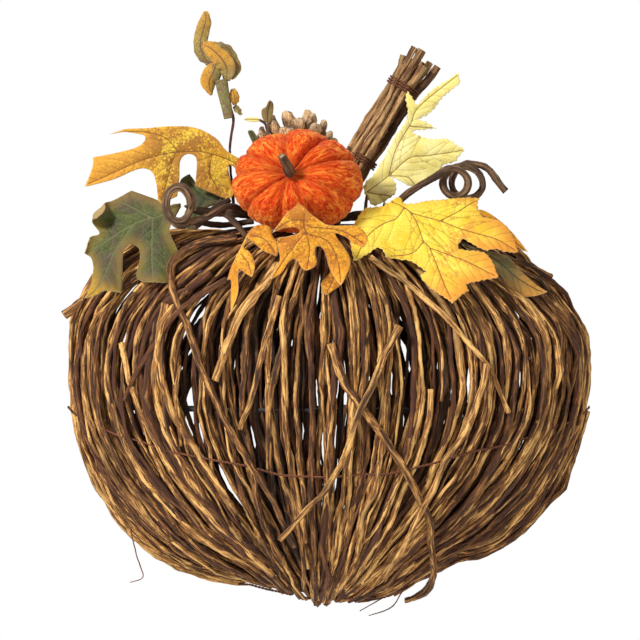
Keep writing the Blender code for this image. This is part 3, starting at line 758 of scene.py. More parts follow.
def build_crossing_vines(bark):
    for number, (name, *vine) in enumerate(CROSSING_VINES):
        lay_vine(f"{name}_bark", name, 400 + number, vine, bark, 0.7, ridges=0.12)
    for number, (name, *vine) in enumerate(LOOSE_VINES):
        lay_vine(name, None, 440 + number, vine, bark, 0.75)
    rng = np.random.RandomState(420)
    heap = Heap()
    s = np.linspace(0, 1, 60)
    path = fit_outline(over(84.0 - 20.0 * s**2, 0.55 + 0.33 * s, np.full(60, 0.0060)))
    add_twig(heap, rng, path, 0.0026, 0.5, 0.5, sides=12, step=0.003)
    settle(heap.make("outer_loop_vine_bark", bark), "root", "outer_loop_vine")


# ---------------------------------------------------------------- wires


# The radius of each of a tie's two strands, and the length of one full twist
TIE_STRAND = 0.0005
TIE_PITCH = 0.0062


def add_twisted(heap, path, strand, pitch, rng, sides=7, step=0.0011):
    """Two thin strands wound around a path."""
    path, along = resample(path, step)
    _, side, other = frames_along(path)
    for phase in (0.0, pi):
        turn = (2 * pi * along / pitch + phase)[:, None]
        line = path + strand * (np.cos(turn) * side + np.sin(turn) * other)
        verts = tube(line, np.full(len(line), strand), sides).reshape(-1, 3)
        verts = np.concatenate([verts, line[:1], line[-1:]])
        heap.add(verts, ring_faces(len(line), sides), verts, rng.uniform(), np.zeros(len(verts)))


def build_bindings(copper):
    """The twisted wire around the waist, and the tie wires at the top and the bottom."""
    rng = np.random.RandomState(500)
    angle = np.linspace(-87, 87, 200)
    z = -0.140 - 0.045 * np.cos(np.radians(angle)) ** 2 + wander(rng, angle, 60, 0.0025)
    path = over(angle, t_at_height(z), 0.0062 + wander(rng, angle, 23, 0.0012))
    heap = Heap()
    add_twisted(heap, path, TIE_STRAND, TIE_PITCH, rng)
    settle(heap.make("waist_wire", copper), "root", "waist_binding")

    arcs = (
        ("top_binding", "top_wire", -87.0, 87.0, 0.045, ()),
        ("bottom_binding_left", "bottom_wire_left", -87.0, -20.0, 0.950,
         (((-0.149, -0.060, -0.229), (-0.143, -0.062, -0.248), (-0.139, -0.062, -0.259),
           (-0.139, -0.061, -0.266), (-0.149, -0.060, -0.270)),)),
        ("bottom_binding_right", "bottom_wire_right", -13.0, 87.0, 0.950,
         (((0.060, -0.040, -0.276), (0.045, -0.042, -0.282), (0.024, -0.044, -0.293)),
          ((0.066, -0.036, -0.272), (0.056, -0.037, -0.278), (0.047, -0.038, -0.290),
           (0.031, -0.038, -0.297)))),
    )
    for node, name, low, high, t, ends in arcs:
        angle = np.linspace(low, high, 90)
        path = fit_outline(over(angle, np.full(90, t) + wander(rng, angle, 40, 0.004), np.full(90, 0.0045)))
        heap = Heap()
        add_twisted(heap, path, TIE_STRAND, TIE_PITCH, rng)
        for route in ends:
            add_twig(heap, rng, smooth_route(route), 0.0006, 0.6, 0.2, sides=7, step=0.002,
                     kinks=0.0003, knots=False)
        settle(heap.make(name, copper), "root", node)


# ---------------------------------------------------------------- stem

STICK_PITCH = 0.0083
STEM_FOOT = np.array((-0.0105, -0.0300, -0.0080))
STEM_LEAN = radians(31.0)
STEM_LENGTH = 0.160
STEM_ALONG = np.array((sin(STEM_LEAN), 0, cos(STEM_LEAN)))
STEM_ACROSS = np.array((cos(STEM_LEAN), 0, -sin(STEM_LEAN)))
STEM_FRONT = np.array((0, -1.0, 0))
# Each stick is two twigs this far from its middle, which spread by this share of their place
STICK_COUNT = 7
STICK_SPLIT = 0.0022
STICK_SPREAD = (0.18, 0.45)
STICK_RADII = (0.0023, 0.0030)
TIES = (("stem_tie_lower", 0.066), ("stem_tie_upper", 0.129))
TIE_TURNS = 2.5
TIE_RADIUS = 0.0126
TIE_CLIMB = 0.0021


def build_stem(bark, wire):
    """Sticks of two twigs each, one in the middle and the others around it, with two ties."""
    for number in range(STICK_COUNT):
        rng = np.random.RandomState(600 + number)
        turn = 2 * pi * (number - 1) / 6
        cell = np.zeros(3)
        if number:
            cell = (STEM_ACROSS * cos(turn) + STEM_FRONT * sin(turn)) * STICK_PITCH
        heap = Heap()
        spin = rng.uniform(0, pi)
        for k in range(2):
            own = spin + pi * k
            offset = cell * 0.95 + (STEM_ACROSS * cos(own) + STEM_FRONT * sin(own)) * STICK_SPLIT
            fan = offset * rng.uniform(*STICK_SPREAD)
            top = STEM_LENGTH + 0.005 * sin(2.4 * number) - rng.uniform(0.0, 0.010)
            path = [
                STEM_FOOT + offset,
                STEM_FOOT + offset + STEM_ALONG * 0.06,
                STEM_FOOT + offset + STEM_ALONG * 0.132,
                STEM_FOOT + offset + fan + STEM_ALONG * top,
            ]
            add_twig(heap, rng, smooth_route(path, 20), rng.uniform(*STICK_RADII), 0.95,
                     rng.uniform(0.2, 0.9), sides=16, step=0.0022, ridges=0.11, kinks=0.0004)
        piece = heap.make(f"stem_stick_{number + 1}_bark", bark)
        settle(piece, "root", f"stem_stick_{number + 1}")
    for name, height in TIES:
        rng = np.random.RandomState(630)
        turn = np.linspace(0, 2 * pi * TIE_TURNS, 120)
        radius = TIE_RADIUS + 0.0005 * np.sin(6 * turn)
        ring = STEM_ACROSS * np.cos(turn)[:, None] + STEM_FRONT * np.sin(turn)[:, None]
        climb = height + TIE_CLIMB * turn / (2 * pi)
        path = STEM_FOOT + ring * radius[:, None] + STEM_ALONG * climb[:, None]
        heap = Heap()
        add_twisted(heap, path, 0.00045, 0.0045, rng, step=0.0009)
        settle(heap.make(f"{name}_wire", wire), "root", name)


# ---------------------------------------------------------------- leaves

LEAF_GRID = 0.0014
LEAF_THICKNESS = 0.0005
LEAF_STEP = 0.0011
# Depth and width of the grooves that the main and the fine veins press into a leaf
GROOVE = (0.00045, 0.0008)
FINE_GROOVE = (0.0002, 0.0006)
# Height of the cloth between the main and the fine veins, and how far from them it is reached
PUFF = (0.0011, 0.004)
FINE_PUFF = (0.0004, 0.002)
RUFFLE_WIDTH = 0.006

# Outlines run around the leaf from its base, and veins run from the base outwards, both as
# (across, up) from the base. A third value of 1 marks a pointed tip.
GOLD_OAK = (
    (0.001, 0.004), (-0.011, 0.012), (-0.019, 0.0215), (-0.034, 0.029), (-0.0515, 0.0305),
    (-0.072, 0.0290), (-0.089, 0.0283), (-0.099, 0.0245, 1), (-0.088, 0.0262), (-0.0735, 0.0235),
    (-0.074, 0.0184), (-0.081, 0.014), (-0.097, 0.010), (-0.1125, 0.0072, 1), (-0.1129, 0.000),
    (-0.1188, -0.0158, 1), (-0.0965, -0.0096), (-0.084, -0.0041), (-0.0747, -0.0015),
    (-0.0678, -0.0041), (-0.0645, -0.0127), (-0.0623, -0.0298, 1), (-0.0483, -0.0228, 1),
    (-0.0468, -0.0096), (-0.046, 0.004), (-0.0414, 0.0091), (-0.0351, 0.0078), (-0.0335, 0.0015),
    (-0.0348, -0.015, 1), (-0.011, -0.0251, 1), (-0.0056, -0.0213), (-0.0090, -0.006),
    (-0.0085, 0.001), (-0.002, -0.002),
)
GOLD_OAK_VEINS = (
    ((0, 0), (-0.012, 0.006), (-0.030, 0.011), (-0.047, 0.0107), (-0.061, 0.009), (-0.0815, 0.0023),
     (-0.116, -0.013)),
    ((-0.047, 0.0107), (-0.058, 0.022), (-0.077, 0.0265), (-0.097, 0.0250)),
    ((-0.050, 0.0105), (-0.0545, -0.004), (-0.0605, -0.026)),
    ((-0.022, 0.0085), (-0.0235, -0.006), (-0.0150, -0.021)),
)
GREEN = (
    (-0.0020, 0.0015), (-0.0129, -0.001), (-0.0214, 0.0052), (-0.030, 0.0084), (-0.0409, 0.0122, 1),
    (-0.0517, 0.0053), (-0.0595, 0.0025), (-0.0674, -0.0014), (-0.0700, -0.008), (-0.0637, -0.020),
    (-0.0689, -0.0251), (-0.0751, -0.0367, 1), (-0.0689, -0.0399), (-0.067, -0.0484),
    (-0.067, -0.0624), (-0.0692, -0.0803, 1), (-0.0595, -0.0702), (-0.0549, -0.0660),
    (-0.0437, -0.0655, 1), (-0.0443, -0.0437), (-0.0431, -0.0321), (-0.0378, -0.0294),
    (-0.0323, -0.0331), (-0.0312, -0.0414), (-0.0335, -0.0531), (-0.0277, -0.0585),
    (-0.0175, -0.0596), (-0.0066, -0.0578), (-0.0040, -0.0453), (-0.0012, -0.0367, 1),
    (-0.009, -0.0204), (-0.0050, -0.0080),
)
GREEN_VEINS = (
    ((0, 0), (-0.012, -0.005), (-0.0231, -0.0092), (-0.038, -0.002), (-0.0502, 0.0040)),
    ((-0.0231, -0.0092), (-0.036, -0.0135), (-0.0479, -0.0204), (-0.060, -0.0290), (-0.072, -0.036)),
    ((-0.0380, -0.0150), (-0.0505, -0.035), (-0.0580, -0.056), (-0.0675, -0.077)),
    ((-0.0231, -0.0092), (-0.0225, -0.026), (-0.0215, -0.042), (-0.0195, -0.057)),
    ((-0.014, -0.0055), (-0.0075, -0.020), (-0.0040, -0.034)),
)
DARK_GREEN = (
    (0.0038, -0.0050), (-0.0086, -0.0010), (-0.0200, 0.0032), (-0.0242, 0.0086), (-0.028, 0.0136, 1),
    (-0.0343, 0.0094), (-0.0345, 0.0024), (-0.0288, -0.0101), (-0.0310, -0.0220),
    (-0.0270, -0.0340, 1), (-0.0195, -0.0300), (-0.0141, -0.0230), (-0.0150, -0.0160),
    (-0.0102, -0.0130), (-0.0008, -0.0101),
)
DARK_GREEN_VEINS = (
    ((0.002, -0.007), (-0.015, -0.006), (-0.029, 0.008)),
    ((-0.015, -0.006), (-0.021, -0.018), (-0.026, -0.031)),
)
YELLOW_MAPLE = (
    (0.0087, 0.0039), (0.0131, -0.0005), (0.0213, -0.0005), (0.0314, 0.0020), (0.0415, 0.0033),
    (0.0592, 0.0064), (0.0712, 0.0058, 1), (0.0687, -0.0018), (0.0712, -0.0113, 1),
    (0.0839, -0.0138), (0.0914, -0.0207), (0.0946, -0.0296), (0.0965, -0.0397, 1),
    (0.087, -0.0403), (0.0782, -0.0382), (0.0719, -0.0397, 1), (0.0655, -0.0366),
    (0.0554, -0.0296, 1), (0.0504, -0.0372), (0.0567, -0.0397), (0.068, -0.0403),
    (0.0744, -0.0460), (0.0788, -0.0618, 1), (0.0693, -0.0635), (0.0617, -0.0652),
    (0.0548, -0.0669), (0.0561, -0.0725, 1), (0.0485, -0.0783), (0.0421, -0.0842, 1),
    (0.0352, -0.0764), (0.0264, -0.0675), (0.0213, -0.0599), (0.0258, -0.0564, 1),
    (0.020, -0.0520), (0.0125, -0.0475), (-0.004, -0.0454, 1), (-0.0059, -0.0397),
    (-0.0103, -0.0378), (-0.0178, -0.0428), (-0.028, -0.0485, 1), (-0.0293, -0.0372),
    (-0.028, -0.0232), (-0.0216, -0.0107), (-0.0153, -0.0043), (-0.0027, -0.0030),
)
YELLOW_MAPLE_VEINS = (
    ((0.001, 0.002), (0.0131, -0.0043), (0.0207, -0.0144), (0.0251, -0.0309), (0.0295, -0.0372),
     (0.0352, -0.0562), (0.0418, -0.0800)),
    ((0.0131, -0.0043), (0.020, -0.0094), (0.039, -0.0151), (0.0554, -0.022), (0.0795, -0.0296),
     (0.0945, -0.0380)),
    ((0.039, -0.0151), (0.0542, -0.0069), (0.0690, 0.0035)),
    ((0.0295, -0.0372), (0.0415, -0.0422), (0.0592, -0.0498), (0.0765, -0.0600)),
    ((0.0131, -0.0043), (0.0062, -0.0132), (-0.0046, -0.0182), (-0.0166, -0.0283), (-0.0260, -0.0455)),
    ((0.0255, -0.0320), (0.0162, -0.0415), (0.0000, -0.0440)),
)
PALE_MAPLE = (
    (-0.0020, 0.0010), (-0.0009, 0.0069), (0.0054, 0.0132), (0.0117, 0.0233), (0.0168, 0.0322),
    (0.0206, 0.0398), (0.0256, 0.0473), (0.0306, 0.0549), (0.0313, 0.0625), (0.0298, 0.0713),
    (0.0313, 0.0767, 1), (0.0357, 0.0701), (0.0385, 0.0661), (0.0484, 0.0764), (0.0597, 0.0840),
    (0.0698, 0.0910, 1), (0.0709, 0.0828, 1), (0.0584, 0.0726), (0.0521, 0.0644), (0.0471, 0.0594),
    (0.0395, 0.0552), (0.0452, 0.0534), (0.0521, 0.0484, 1), (0.0433, 0.0477), (0.0347, 0.0461),
    (0.0408, 0.0427), (0.0484, 0.0404), (0.061, 0.0404), (0.0673, 0.0360), (0.0742, 0.0322, 1),
    (0.0692, 0.0265), (0.0673, 0.0233, 1), (0.0572, 0.0202), (0.0559, 0.0158), (0.0471, 0.0114),
    (0.0376, 0.0031, 1), (0.0306, 0.0056), (0.0218, 0.0107), (0.0181, 0.0114), (0.0218, 0.0056),
    (0.0212, -0.0013), (0.0104, -0.0085), (0.0041, -0.0095),
)
PALE_MAPLE_VEINS = (
    ((0, 0), (0.0168, 0.0125), (0.0325, 0.0260), (0.0458, 0.0277), (0.0720, 0.0315)),
    ((0.0168, 0.0125), (0.0306, 0.0115), (0.0370, 0.0050)),
    ((0.0168, 0.0125), (0.0225, 0.0330), (0.0335, 0.0520), (0.0400, 0.0650), (0.0690, 0.0890)),
    ((0, 0), (0.0120, -0.0020), (0.0190, -0.0030)),
    ((0.0325, 0.0500), (0.0500, 0.0490)),
)
OLIVE = (
    (-0.0164, 0.0031), (0.0000, -0.0010), (0.0114, -0.0034), (0.0241, -0.0057), (0.0278, -0.0133),
    (0.0367, -0.0234), (0.0500, -0.0354, 1), (0.0405, -0.0370), (0.0291, -0.0373, 1),
    (0.0234, -0.0345), (0.0165, -0.0240), (0.0089, -0.0161), (0.0019, -0.0082), (-0.0100, -0.0030),
)
OLIVE_VEINS = (((-0.014, 0.001), (0.000, -0.0045), (0.012, -0.0095), (0.028, -0.0235), (0.046, -0.0345)),)
EDGE = (
    (0.0000, 0.0010), (0.0071, 0.0002), (0.0184, -0.0071), (0.0286, -0.0172), (0.0387, -0.0305, 1),
    (0.0311, -0.0274), (0.0248, -0.0236), (0.0172, -0.0142), (0.0083, -0.0110), (0.0020, -0.0059),
)
EDGE_VEINS = (((0.001, -0.002), (0.012, -0.007), (0.025, -0.019), (0.036, -0.029)),)
ORANGE_OAK = (
    (-0.0194, 0.0092), (-0.0145, 0.0131, 1), (-0.0106, 0.0092), (-0.0048, 0.0034),
    (0.0069, -0.0042), (0.0166, -0.0046), (0.0264, -0.0049), (0.0322, -0.0073), (0.0365, -0.0141),
    (0.0336, -0.0204, 1), (0.0264, -0.0180), (0.0205, -0.0132), (0.0127, -0.0102),
    (0.0146, -0.0146), (0.0195, -0.0214), (0.0236, -0.0287), (0.0229, -0.0365), (0.0171, -0.0491, 1),
    (0.0123, -0.0433), (0.0084, -0.0355), (0.0066, -0.0287), (0.0050, -0.0239), (0.0021, -0.0203),
    (-0.0014, -0.0204), (-0.0024, -0.0243), (-0.0007, -0.0297), (-0.0018, -0.0345),
    (-0.0087, -0.0375), (-0.0127, -0.0345), (-0.0145, -0.0302), (-0.0179, -0.0294),
    (-0.0218, -0.0321), (-0.0261, -0.0392), (-0.0344, -0.0443, 1), (-0.0310, -0.0370),
    (-0.0276, -0.0297), (-0.0286, -0.0219), (-0.0291, -0.0146), (-0.0223, -0.0130),
    (-0.0135, -0.0101), (-0.0150, -0.0063), (-0.0223, -0.0061), (-0.0281, -0.0075),
    (-0.0335, -0.0101, 1), (-0.0281, -0.0030),
)
ORANGE_OAK_VEINS = (
    ((-0.010, 0.004), (-0.0087, -0.0093), (0.0069, -0.0161), (0.0146, -0.0306), (0.0168, -0.0465)),
    ((-0.0087, -0.0093), (-0.0060, -0.022), (-0.0078, -0.0360)),
    ((-0.0087, -0.0093), (-0.0204, -0.0238), (-0.0330, -0.0430)),
    ((-0.0060, -0.0060), (0.0166, -0.0083), (0.0340, -0.0180)),
    ((-0.010, -0.001), (-0.020, -0.001), (-0.031, -0.008)),
)
SMALL_GOLD = (
    (-0.0076, 0.0046), (-0.0003, 0.0090), (0.0075, 0.0066), (0.0089, 0.0008), (0.0128, -0.0051),
    (0.0141, -0.0099), (0.0128, -0.0148, 1), (0.0036, -0.0111), (-0.0052, -0.0046),
    (-0.0086, -0.0020), (-0.0120, -0.0085), (-0.0081, -0.0109), (-0.0047, -0.0168),
    (-0.0034, -0.0231), (-0.0055, -0.0302, 1), (-0.0110, -0.0270), (-0.0155, -0.0240),
    (-0.0166, -0.0313), (-0.0164, -0.0401), (-0.0203, -0.0486, 1), (-0.0219, -0.0401),
    (-0.0225, -0.0313), (-0.0256, -0.0313, 1), (-0.0226, -0.0235), (-0.0183, -0.0158),
    (-0.0139, -0.0075), (-0.0105, -0.0010),
)
SMALL_GOLD_VEINS = (
    ((-0.007, 0.001), (0.003, -0.002), (0.0115, -0.0125)),
    ((-0.009, -0.001), (-0.0135, -0.0115), (-0.0185, -0.027), (-0.0200, -0.046)),
    ((-0.0140, -0.013), (-0.0090, -0.019), (-0.0060, -0.028)),
)
SMALL_ORANGE = (
    (-0.0010, 0.0010), (0.0050, -0.0060), (0.0040, -0.0120), (-0.0080, -0.0205, 1),
    (-0.0115, -0.0120), (-0.0060, -0.0050),
)
SMALL_ORANGE_VEINS = (((-0.001, -0.001), (-0.003, -0.010), (-0.007, -0.018)),)
SMALL_BROWN = (
    (0.0015, 0.0010), (0.0040, 0.0061), (0.0047, 0.0146), (0.0021, 0.0185), (-0.0010, 0.0130),
    (-0.0041, 0.0107), (-0.0041, 0.0053), (-0.0015, 0.0010),
)
SMALL_BROWN_VEINS = (((0, 0.001), (0.0005, 0.009), (0.0020, 0.0165)),)
SMALL_CREAM = (
    (0.0000, 0.0006), (-0.0060, 0.0020), (-0.0136, 0.0006, 1), (-0.0070, -0.0016), (0.0000, -0.0006),
)
SMALL_CREAM_VEINS = (((0, 0), (-0.0060, 0.0004), (-0.0115, 0.0004)),)
SMALL_GREEN = (
    (0.0014, 0.0000), (0.0012, 0.0060), (-0.0030, 0.0125, 1), (-0.0068, 0.0120), (-0.0042, 0.0050),
    (-0.0014, 0.0000),
)
SMALL_GREEN_VEINS = (((0, 0.0005), (-0.0015, 0.0060), (-0.0042, 0.0110)),)


def hermite_outline(points, step):
    """A closed outline through the points, smooth except at the marked tips."""
    flat = np.array([p[:2] for p in points], dtype=float)
    tips = np.array([len(p) > 2 for p in points])
    slope = 0.5 * (np.roll(flat, -1, 0) - np.roll(flat, 1, 0))
    slope[tips] = 0
    path = []
    for k in range(len(flat)):
        a, b = flat[k], flat[(k + 1) % len(flat)]
        ma, mb = slope[k], slope[(k + 1) % len(flat)]
        count = max(2, int(np.linalg.norm(b - a) / step))
        for s in np.arange(count) / count:
            path.append(
                (2 * s**3 - 3 * s**2 + 1) * a + (s**3 - 2 * s**2 + s) * ma
                + (3 * s**2 - 2 * s**3) * b + (s**3 - s**2) * mb
            )
    return np.array(path)


def toothed(path, size, wavelength):
    """Small teeth that lean forward along an outline."""
    ahead = np.roll(path, -1, 0) - np.roll(path, 1, 0)
    out = np.stack([ahead[:, 1], -ahead[:, 0]], -1)
    out /= np.linalg.norm(out, axis=1)[:, None] + 1e-12
    steps = np.linalg.norm(np.roll(path, -1, 0) - path, axis=1)
    along = np.concatenate([[0], np.cumsum(steps)[:-1]])
    phase = (along / wavelength) % 1.0
    area = np.sum(path[:, 0] * np.roll(path[:, 1], -1) - path[:, 1] * np.roll(path[:, 0], -1))
    return path + out * (np.sign(area) * size * (phase**1.5 - 0.35))[:, None]


def inside(points, outline):
    """Which points lie inside a closed outline."""
    x, y = points[:, 0][:, None], points[:, 1][:, None]
    ax, ay = outline[:, 0], outline[:, 1]
    bx, by = np.roll(ax, -1), np.roll(ay, -1)
    crosses = (ay > y) != (by > y)
    at = (bx - ax) * (y - ay) / np.where(by == ay, 1e-12, by - ay) + ax
    return (np.sum(crosses & (x < at), axis=1) % 2) == 1


def distance_to_lines(points, lines):
    """The distance from each point to the nearest of some open lines."""
    best = np.full(len(points), 1.0)
    for line in lines:
        line = np.asarray(line, dtype=float)
        if len(line) < 2:
            continue
        a, b = line[:-1], line[1:]
        span = b - a
        share = np.einsum("nkd,kd->nk", points[:, None] - a[None], span) / (np.sum(span**2, 1) + 1e-15)
        near = a[None] + np.clip(share, 0, 1)[..., None] * span[None]
        best = np.minimum(best, np.linalg.norm(points[:, None] - near, axis=2).min(1))
    return best


def side_veins(vein, outline, spacing, rng):
    """Thin veins that branch off both sides of a main vein, cut where they reach the rim."""
    vein3 = np.column_stack([vein, np.zeros(len(vein))])
    path, along = resample(smooth_route(vein3, 6), 0.001)
    path = path[:, :2]
    found = []
    place = spacing
    side = 1
    while place < along[-1] * 0.94:
        k = int(np.searchsorted(along, place))
        heading = path[min(k + 2, len(path) - 1)] - path[max(k - 2, 0)]
        heading /= np.linalg.norm(heading) + 1e-12
        side = -side
        length = 0.006 + 0.32 * (along[-1] - place) + rng.uniform(0, 0.004)
        spread = side * radians(rng.uniform(40, 55))
        s = np.arange(0, length, 0.0012)
        turn = spread * (1 - 0.45 * s / max(length, 1e-6))
        step_x = np.cos(turn) * heading[0] - np.sin(turn) * heading[1]
        step_y = np.sin(turn) * heading[0] + np.cos(turn) * heading[1]
        line = path[k] + np.cumsum(np.stack([step_x, step_y], -1), 0) * 0.0012
        kept = inside(line, outline)
        stop = int(np.argmin(kept)) if not kept.all() else len(kept)
        if stop >= 3:
            found.append(np.vstack([path[k], line[:stop]]))
        place += spacing * rng.uniform(0.35, 0.65)
    return found


def rolled(flat, lift, at, toward, radius, most=pi, sign=1.0):
    """Roll the part of a leaf beyond a line forwards (sign 1) or backwards (-1)."""
    toward = np.asarray(toward, dtype=float)
    toward = toward / np.linalg.norm(toward)
    reach = (flat - np.asarray(at)) @ toward
    beyond = np.maximum(reach, 0)
    turn = np.minimum(beyond / radius, most)
    extra = beyond - radius * turn
    height = sign * lift
    along = radius * np.sin(turn) + extra * np.cos(turn) - height * np.sin(turn)
    up = radius * (1 - np.cos(turn)) + extra * np.sin(turn) + height * np.cos(turn)
    past = reach > 0
    flat = flat + np.where(past, along - reach, 0)[:, None] * toward
    return flat, np.where(past, sign * up, lift)


def triangulated(outline, lines, grid):
    """Triangles that fill an outline, with its veins among their edges."""
    low, high = outline.min(0), outline.max(0)
    columns = np.arange(low[0], high[0], grid)
    rows = np.arange(low[1], high[1], grid * 0.87)
    x, y = np.meshgrid(columns, rows)
    x = x + (np.arange(len(rows)) % 2)[:, None] * grid / 2
    field = np.stack([x.ravel(), y.ravel()], -1)
    field = field[inside(field, outline)]
    closed = np.vstack([outline, outline[:1]])
    field = field[distance_to_lines(field, [closed]) > 0.45 * grid]
    field = field[distance_to_lines(field, lines) > 0.40 * grid]
    points = [outline]
    edges = [(k, (k + 1) % len(outline)) for k in range(len(outline))]
    count = len(outline)
    for line in lines:
        points.append(line)
        edges.extend((count + k, count + k + 1) for k in range(len(line) - 1))
        count += len(line)
    points.append(field)
    flat = np.concatenate(points)
    made = delaunay_2d_cdt([Vector(p) for p in flat], edges, [], 1, 1e-6)
    return np.array([tuple(v) for v in made[0]]), [tuple(f) for f in made[2]]


def leaf_shape(outline, veins, teeth, rng):
    """The flat leaf: its points, triangles, and distances to the veins and the rim."""
    rim = hermite_outline(outline, LEAF_STEP)
    if teeth:
        rim = toothed(rim, *teeth)
    main = []
    fine = []
    for vein in veins:
        path = smooth_route(np.column_stack([vein, np.zeros(len(vein))]), 8)
        path = resample(path, LEAF_STEP)[0][:, :2]
        kept = inside(path, rim)
        if kept.sum() < 3:
            continue
        first = int(np.argmax(kept))
        after = kept[first:]
        stop = first + (int(np.argmin(after)) if not after.all() else len(after))
        path = path[first:stop]
        if len(path) > 2:
            main.append(path)
            fine.extend(side_veins(path, rim, 0.009, rng))
    flat, faces = triangulated(rim, main + fine, LEAF_GRID)
    near = distance_to_lines(flat, main)
    near_fine = distance_to_lines(flat, fine)
    edge = distance_to_lines(flat, [np.vstack([rim, rim[:1]])])
    return flat, faces, near, near_fine, edge


def add_sides(mesh_points, faces, normals):
    """The leaf's underside and rim, for points and normals of its upper side."""
    count = len(mesh_points)
    under = mesh_points - normals * LEAF_THICKNESS
    used = {}
    for face in faces:
        for a, b in zip(face, face[1:] + face[:1]):
            key = (min(a, b), max(a, b))
            used.setdefault(key, []).append((a, b))
    rim = []
    for runs in used.values():
        if len(runs) == 1:
            a, b = runs[0]
            rim.append((b, a, a + count, b + count))
    below = [tuple(k + count for k in reversed(face)) for face in faces]
    return np.vstack([mesh_points, under]), list(faces) + below + rim


def vertex_normals(points, faces):
    faces = np.array(faces)
    cross = np.cross(points[faces[:, 1]] - points[faces[:, 0]], points[faces[:, 2]] - points[faces[:, 0]])
    normals = np.zeros_like(points)
    for k in range(3):
        np.add.at(normals, faces[:, k], cross)
    return normals / (np.linalg.norm(normals, axis=1)[:, None] + 1e-15)


def make_leaf_mesh(name, points, faces, facts, material):
    """A closed leaf from its upper side; facts are (vein, side vein, edge, reach, place)."""
    faces = [tuple(f) for f in faces]
    normals = vertex_normals(points, faces)
    verts, all_faces = add_sides(points, faces, normals)
    mesh = bpy.data.meshes.new(name)
    mesh.from_pydata(verts.tolist(), [], all_faces)
    for key, values in facts.items():
        if key == "place":
            store_vector(mesh, key, np.vstack([values, values]))
        else:
            store_value(mesh, key, np.concatenate([values, values]))
    below = np.zeros(len(verts))
    below[len(points):] = 1.0
    store_value(mesh, "under", below)
    return finish_mesh(name, mesh, material)


def build_leaf(name, table, place, look, curls, cup, ruffle, seed):
    """One leaf: cupped between its veins, ruffled along its rim and rolled at its tips."""
    outline, veins, teeth = table
    base, yaw, pitch = place
    node, body, slot, material = look
    rng = np.random.RandomState(seed)
    flat, faces, near, fine, edge = leaf_shape(outline, veins, teeth, rng)
    reach = np.linalg.norm(flat, axis=1)
    groove = -GROOVE[0] * np.exp(-((near / GROOVE[1]) ** 2))
    groove = groove - FINE_GROOVE[0] * np.exp(-((fine / FINE_GROOVE[1]) ** 2))
    puff = PUFF[0] * (1 - np.exp(-near / PUFF[1])) + FINE_PUFF[0] * (1 - np.exp(-fine / FINE_PUFF[1]))
    rim = np.exp(-edge / RUFFLE_WIDTH)
    heading = np.arctan2(flat[:, 1], flat[:, 0])
    wave = np.sin(5 * heading + seed) + 0.6 * np.sin(11 * heading + 2.1 * seed + reach * 90)
    lift = groove + puff + ruffle * rim * wave - cup * (near / 0.02) ** 1.5 * 0.01
    placed = flat.copy()
    for curl in curls:
        placed, lift = rolled(placed, lift, *curl)
    local = np.column_stack([placed, lift])
    turn = Matrix.Rotation(radians(yaw), 3, "Z") @ Matrix.Rotation(radians(90 + pitch), 3, "X")
    points = local @ np.array(turn).T + np.asarray(base)
    facts = {
        "vein": near, "fine_vein": fine, "edge": edge, "reach": reach,
        "place": np.column_stack([flat, np.full(len(flat), 0.37 * seed)]),
    }
    piece = make_leaf_mesh(name, points, faces, facts, material)
    settle(piece, body, node)


def leaf_material(name, low, high, patch, tip, vein, under, patch_share, tip_span, fleck,
                  cells=430, net_share=0.6):
    """Printed fabric: mottled colour with brown patches, a net of fine lines and drawn veins."""
    n = Nodes(name)
    place = n.attribute("place", "Vector")
    broad = n.noise(place, 60, 4, 0.6, 0.4)
    color = n.ramp(broad, ((0.34, low), (0.62, high)))
    blotch = n.noise(place, 38, 5, 0.62, 0.8)
    speckle = n.noise(place, 520, 4, 0.6, 0.2)
    edges = n.fade(n.attribute("edge"), 0.0, 0.010)
    drift = n.math("ADD", blotch, n.weighed(n.math("SUBTRACT", speckle, 0.5), 0.55))
    color = n.mix(n.fade(drift, patch_share - 0.10, patch_share), color, patch)
    cell = n.add("ShaderNodeTexVoronoi", feature="DISTANCE_TO_EDGE")
    n.join(place, cell.inputs["Vector"])
    cell.inputs["Scale"].default_value = cells
    net = n.fade(cell.outputs["Distance"], 0.0, 0.16)
    color = n.mix(n.weighed(net, n.weighed(n.fade(blotch, 0.62, 0.38), net_share)), color, vein)
    color = n.tint(color, speckle, 0.66, 0.58, 0.40, fleck)
    toward_tip = n.fade(n.attribute("reach"), tip_span[1], tip_span[0])
    toward_tip = n.weighed(toward_tip, n.fade(n.attribute("edge"), 0.0, 0.022))
    toward_tip = n.math("MULTIPLY", toward_tip, n.math("ADD", speckle, 0.45), clamp=True)
    color = n.mix(toward_tip, color, tip)
    color = n.mix(n.weighed(edges, 0.22), color, tip)
    dots = n.noise(place, 1000, 3, 0.6)
    color = n.tint(color, dots, 0.40, 0.47, 0.8 * net_share, patch)
    color = n.tint(color, n.attribute("fine_vein"), 0.0001, 0.00045, 0.42, vein)
    color = n.tint(color, n.attribute("vein"), 0.00015, 0.00070, 0.85, vein)
    color = n.tint(color, n.attribute("edge"), 0.0, 0.00035, 0.35, (0.85, 0.74, 0.48))
    back = n.ramp(speckle, ((0.35, tuple(0.7 * c for c in under)), (0.65, under)))
    color = n.mix(n.weighed(n.attribute("under"), 0.85), color, back)
    weave = n.noise(place, 2600, 2, 0.5)
    normal = n.bump(weave, 0.00012, 0.5)
    normal = n.bump(speckle, 0.0002, 0.5, normal)
    n.shader.inputs["Sheen Weight"].default_value = 0.05
    n.shader.inputs["Specular IOR Level"].default_value = 0.3
    return n.finish(color, speckle, normal, 0.55, 0.82)


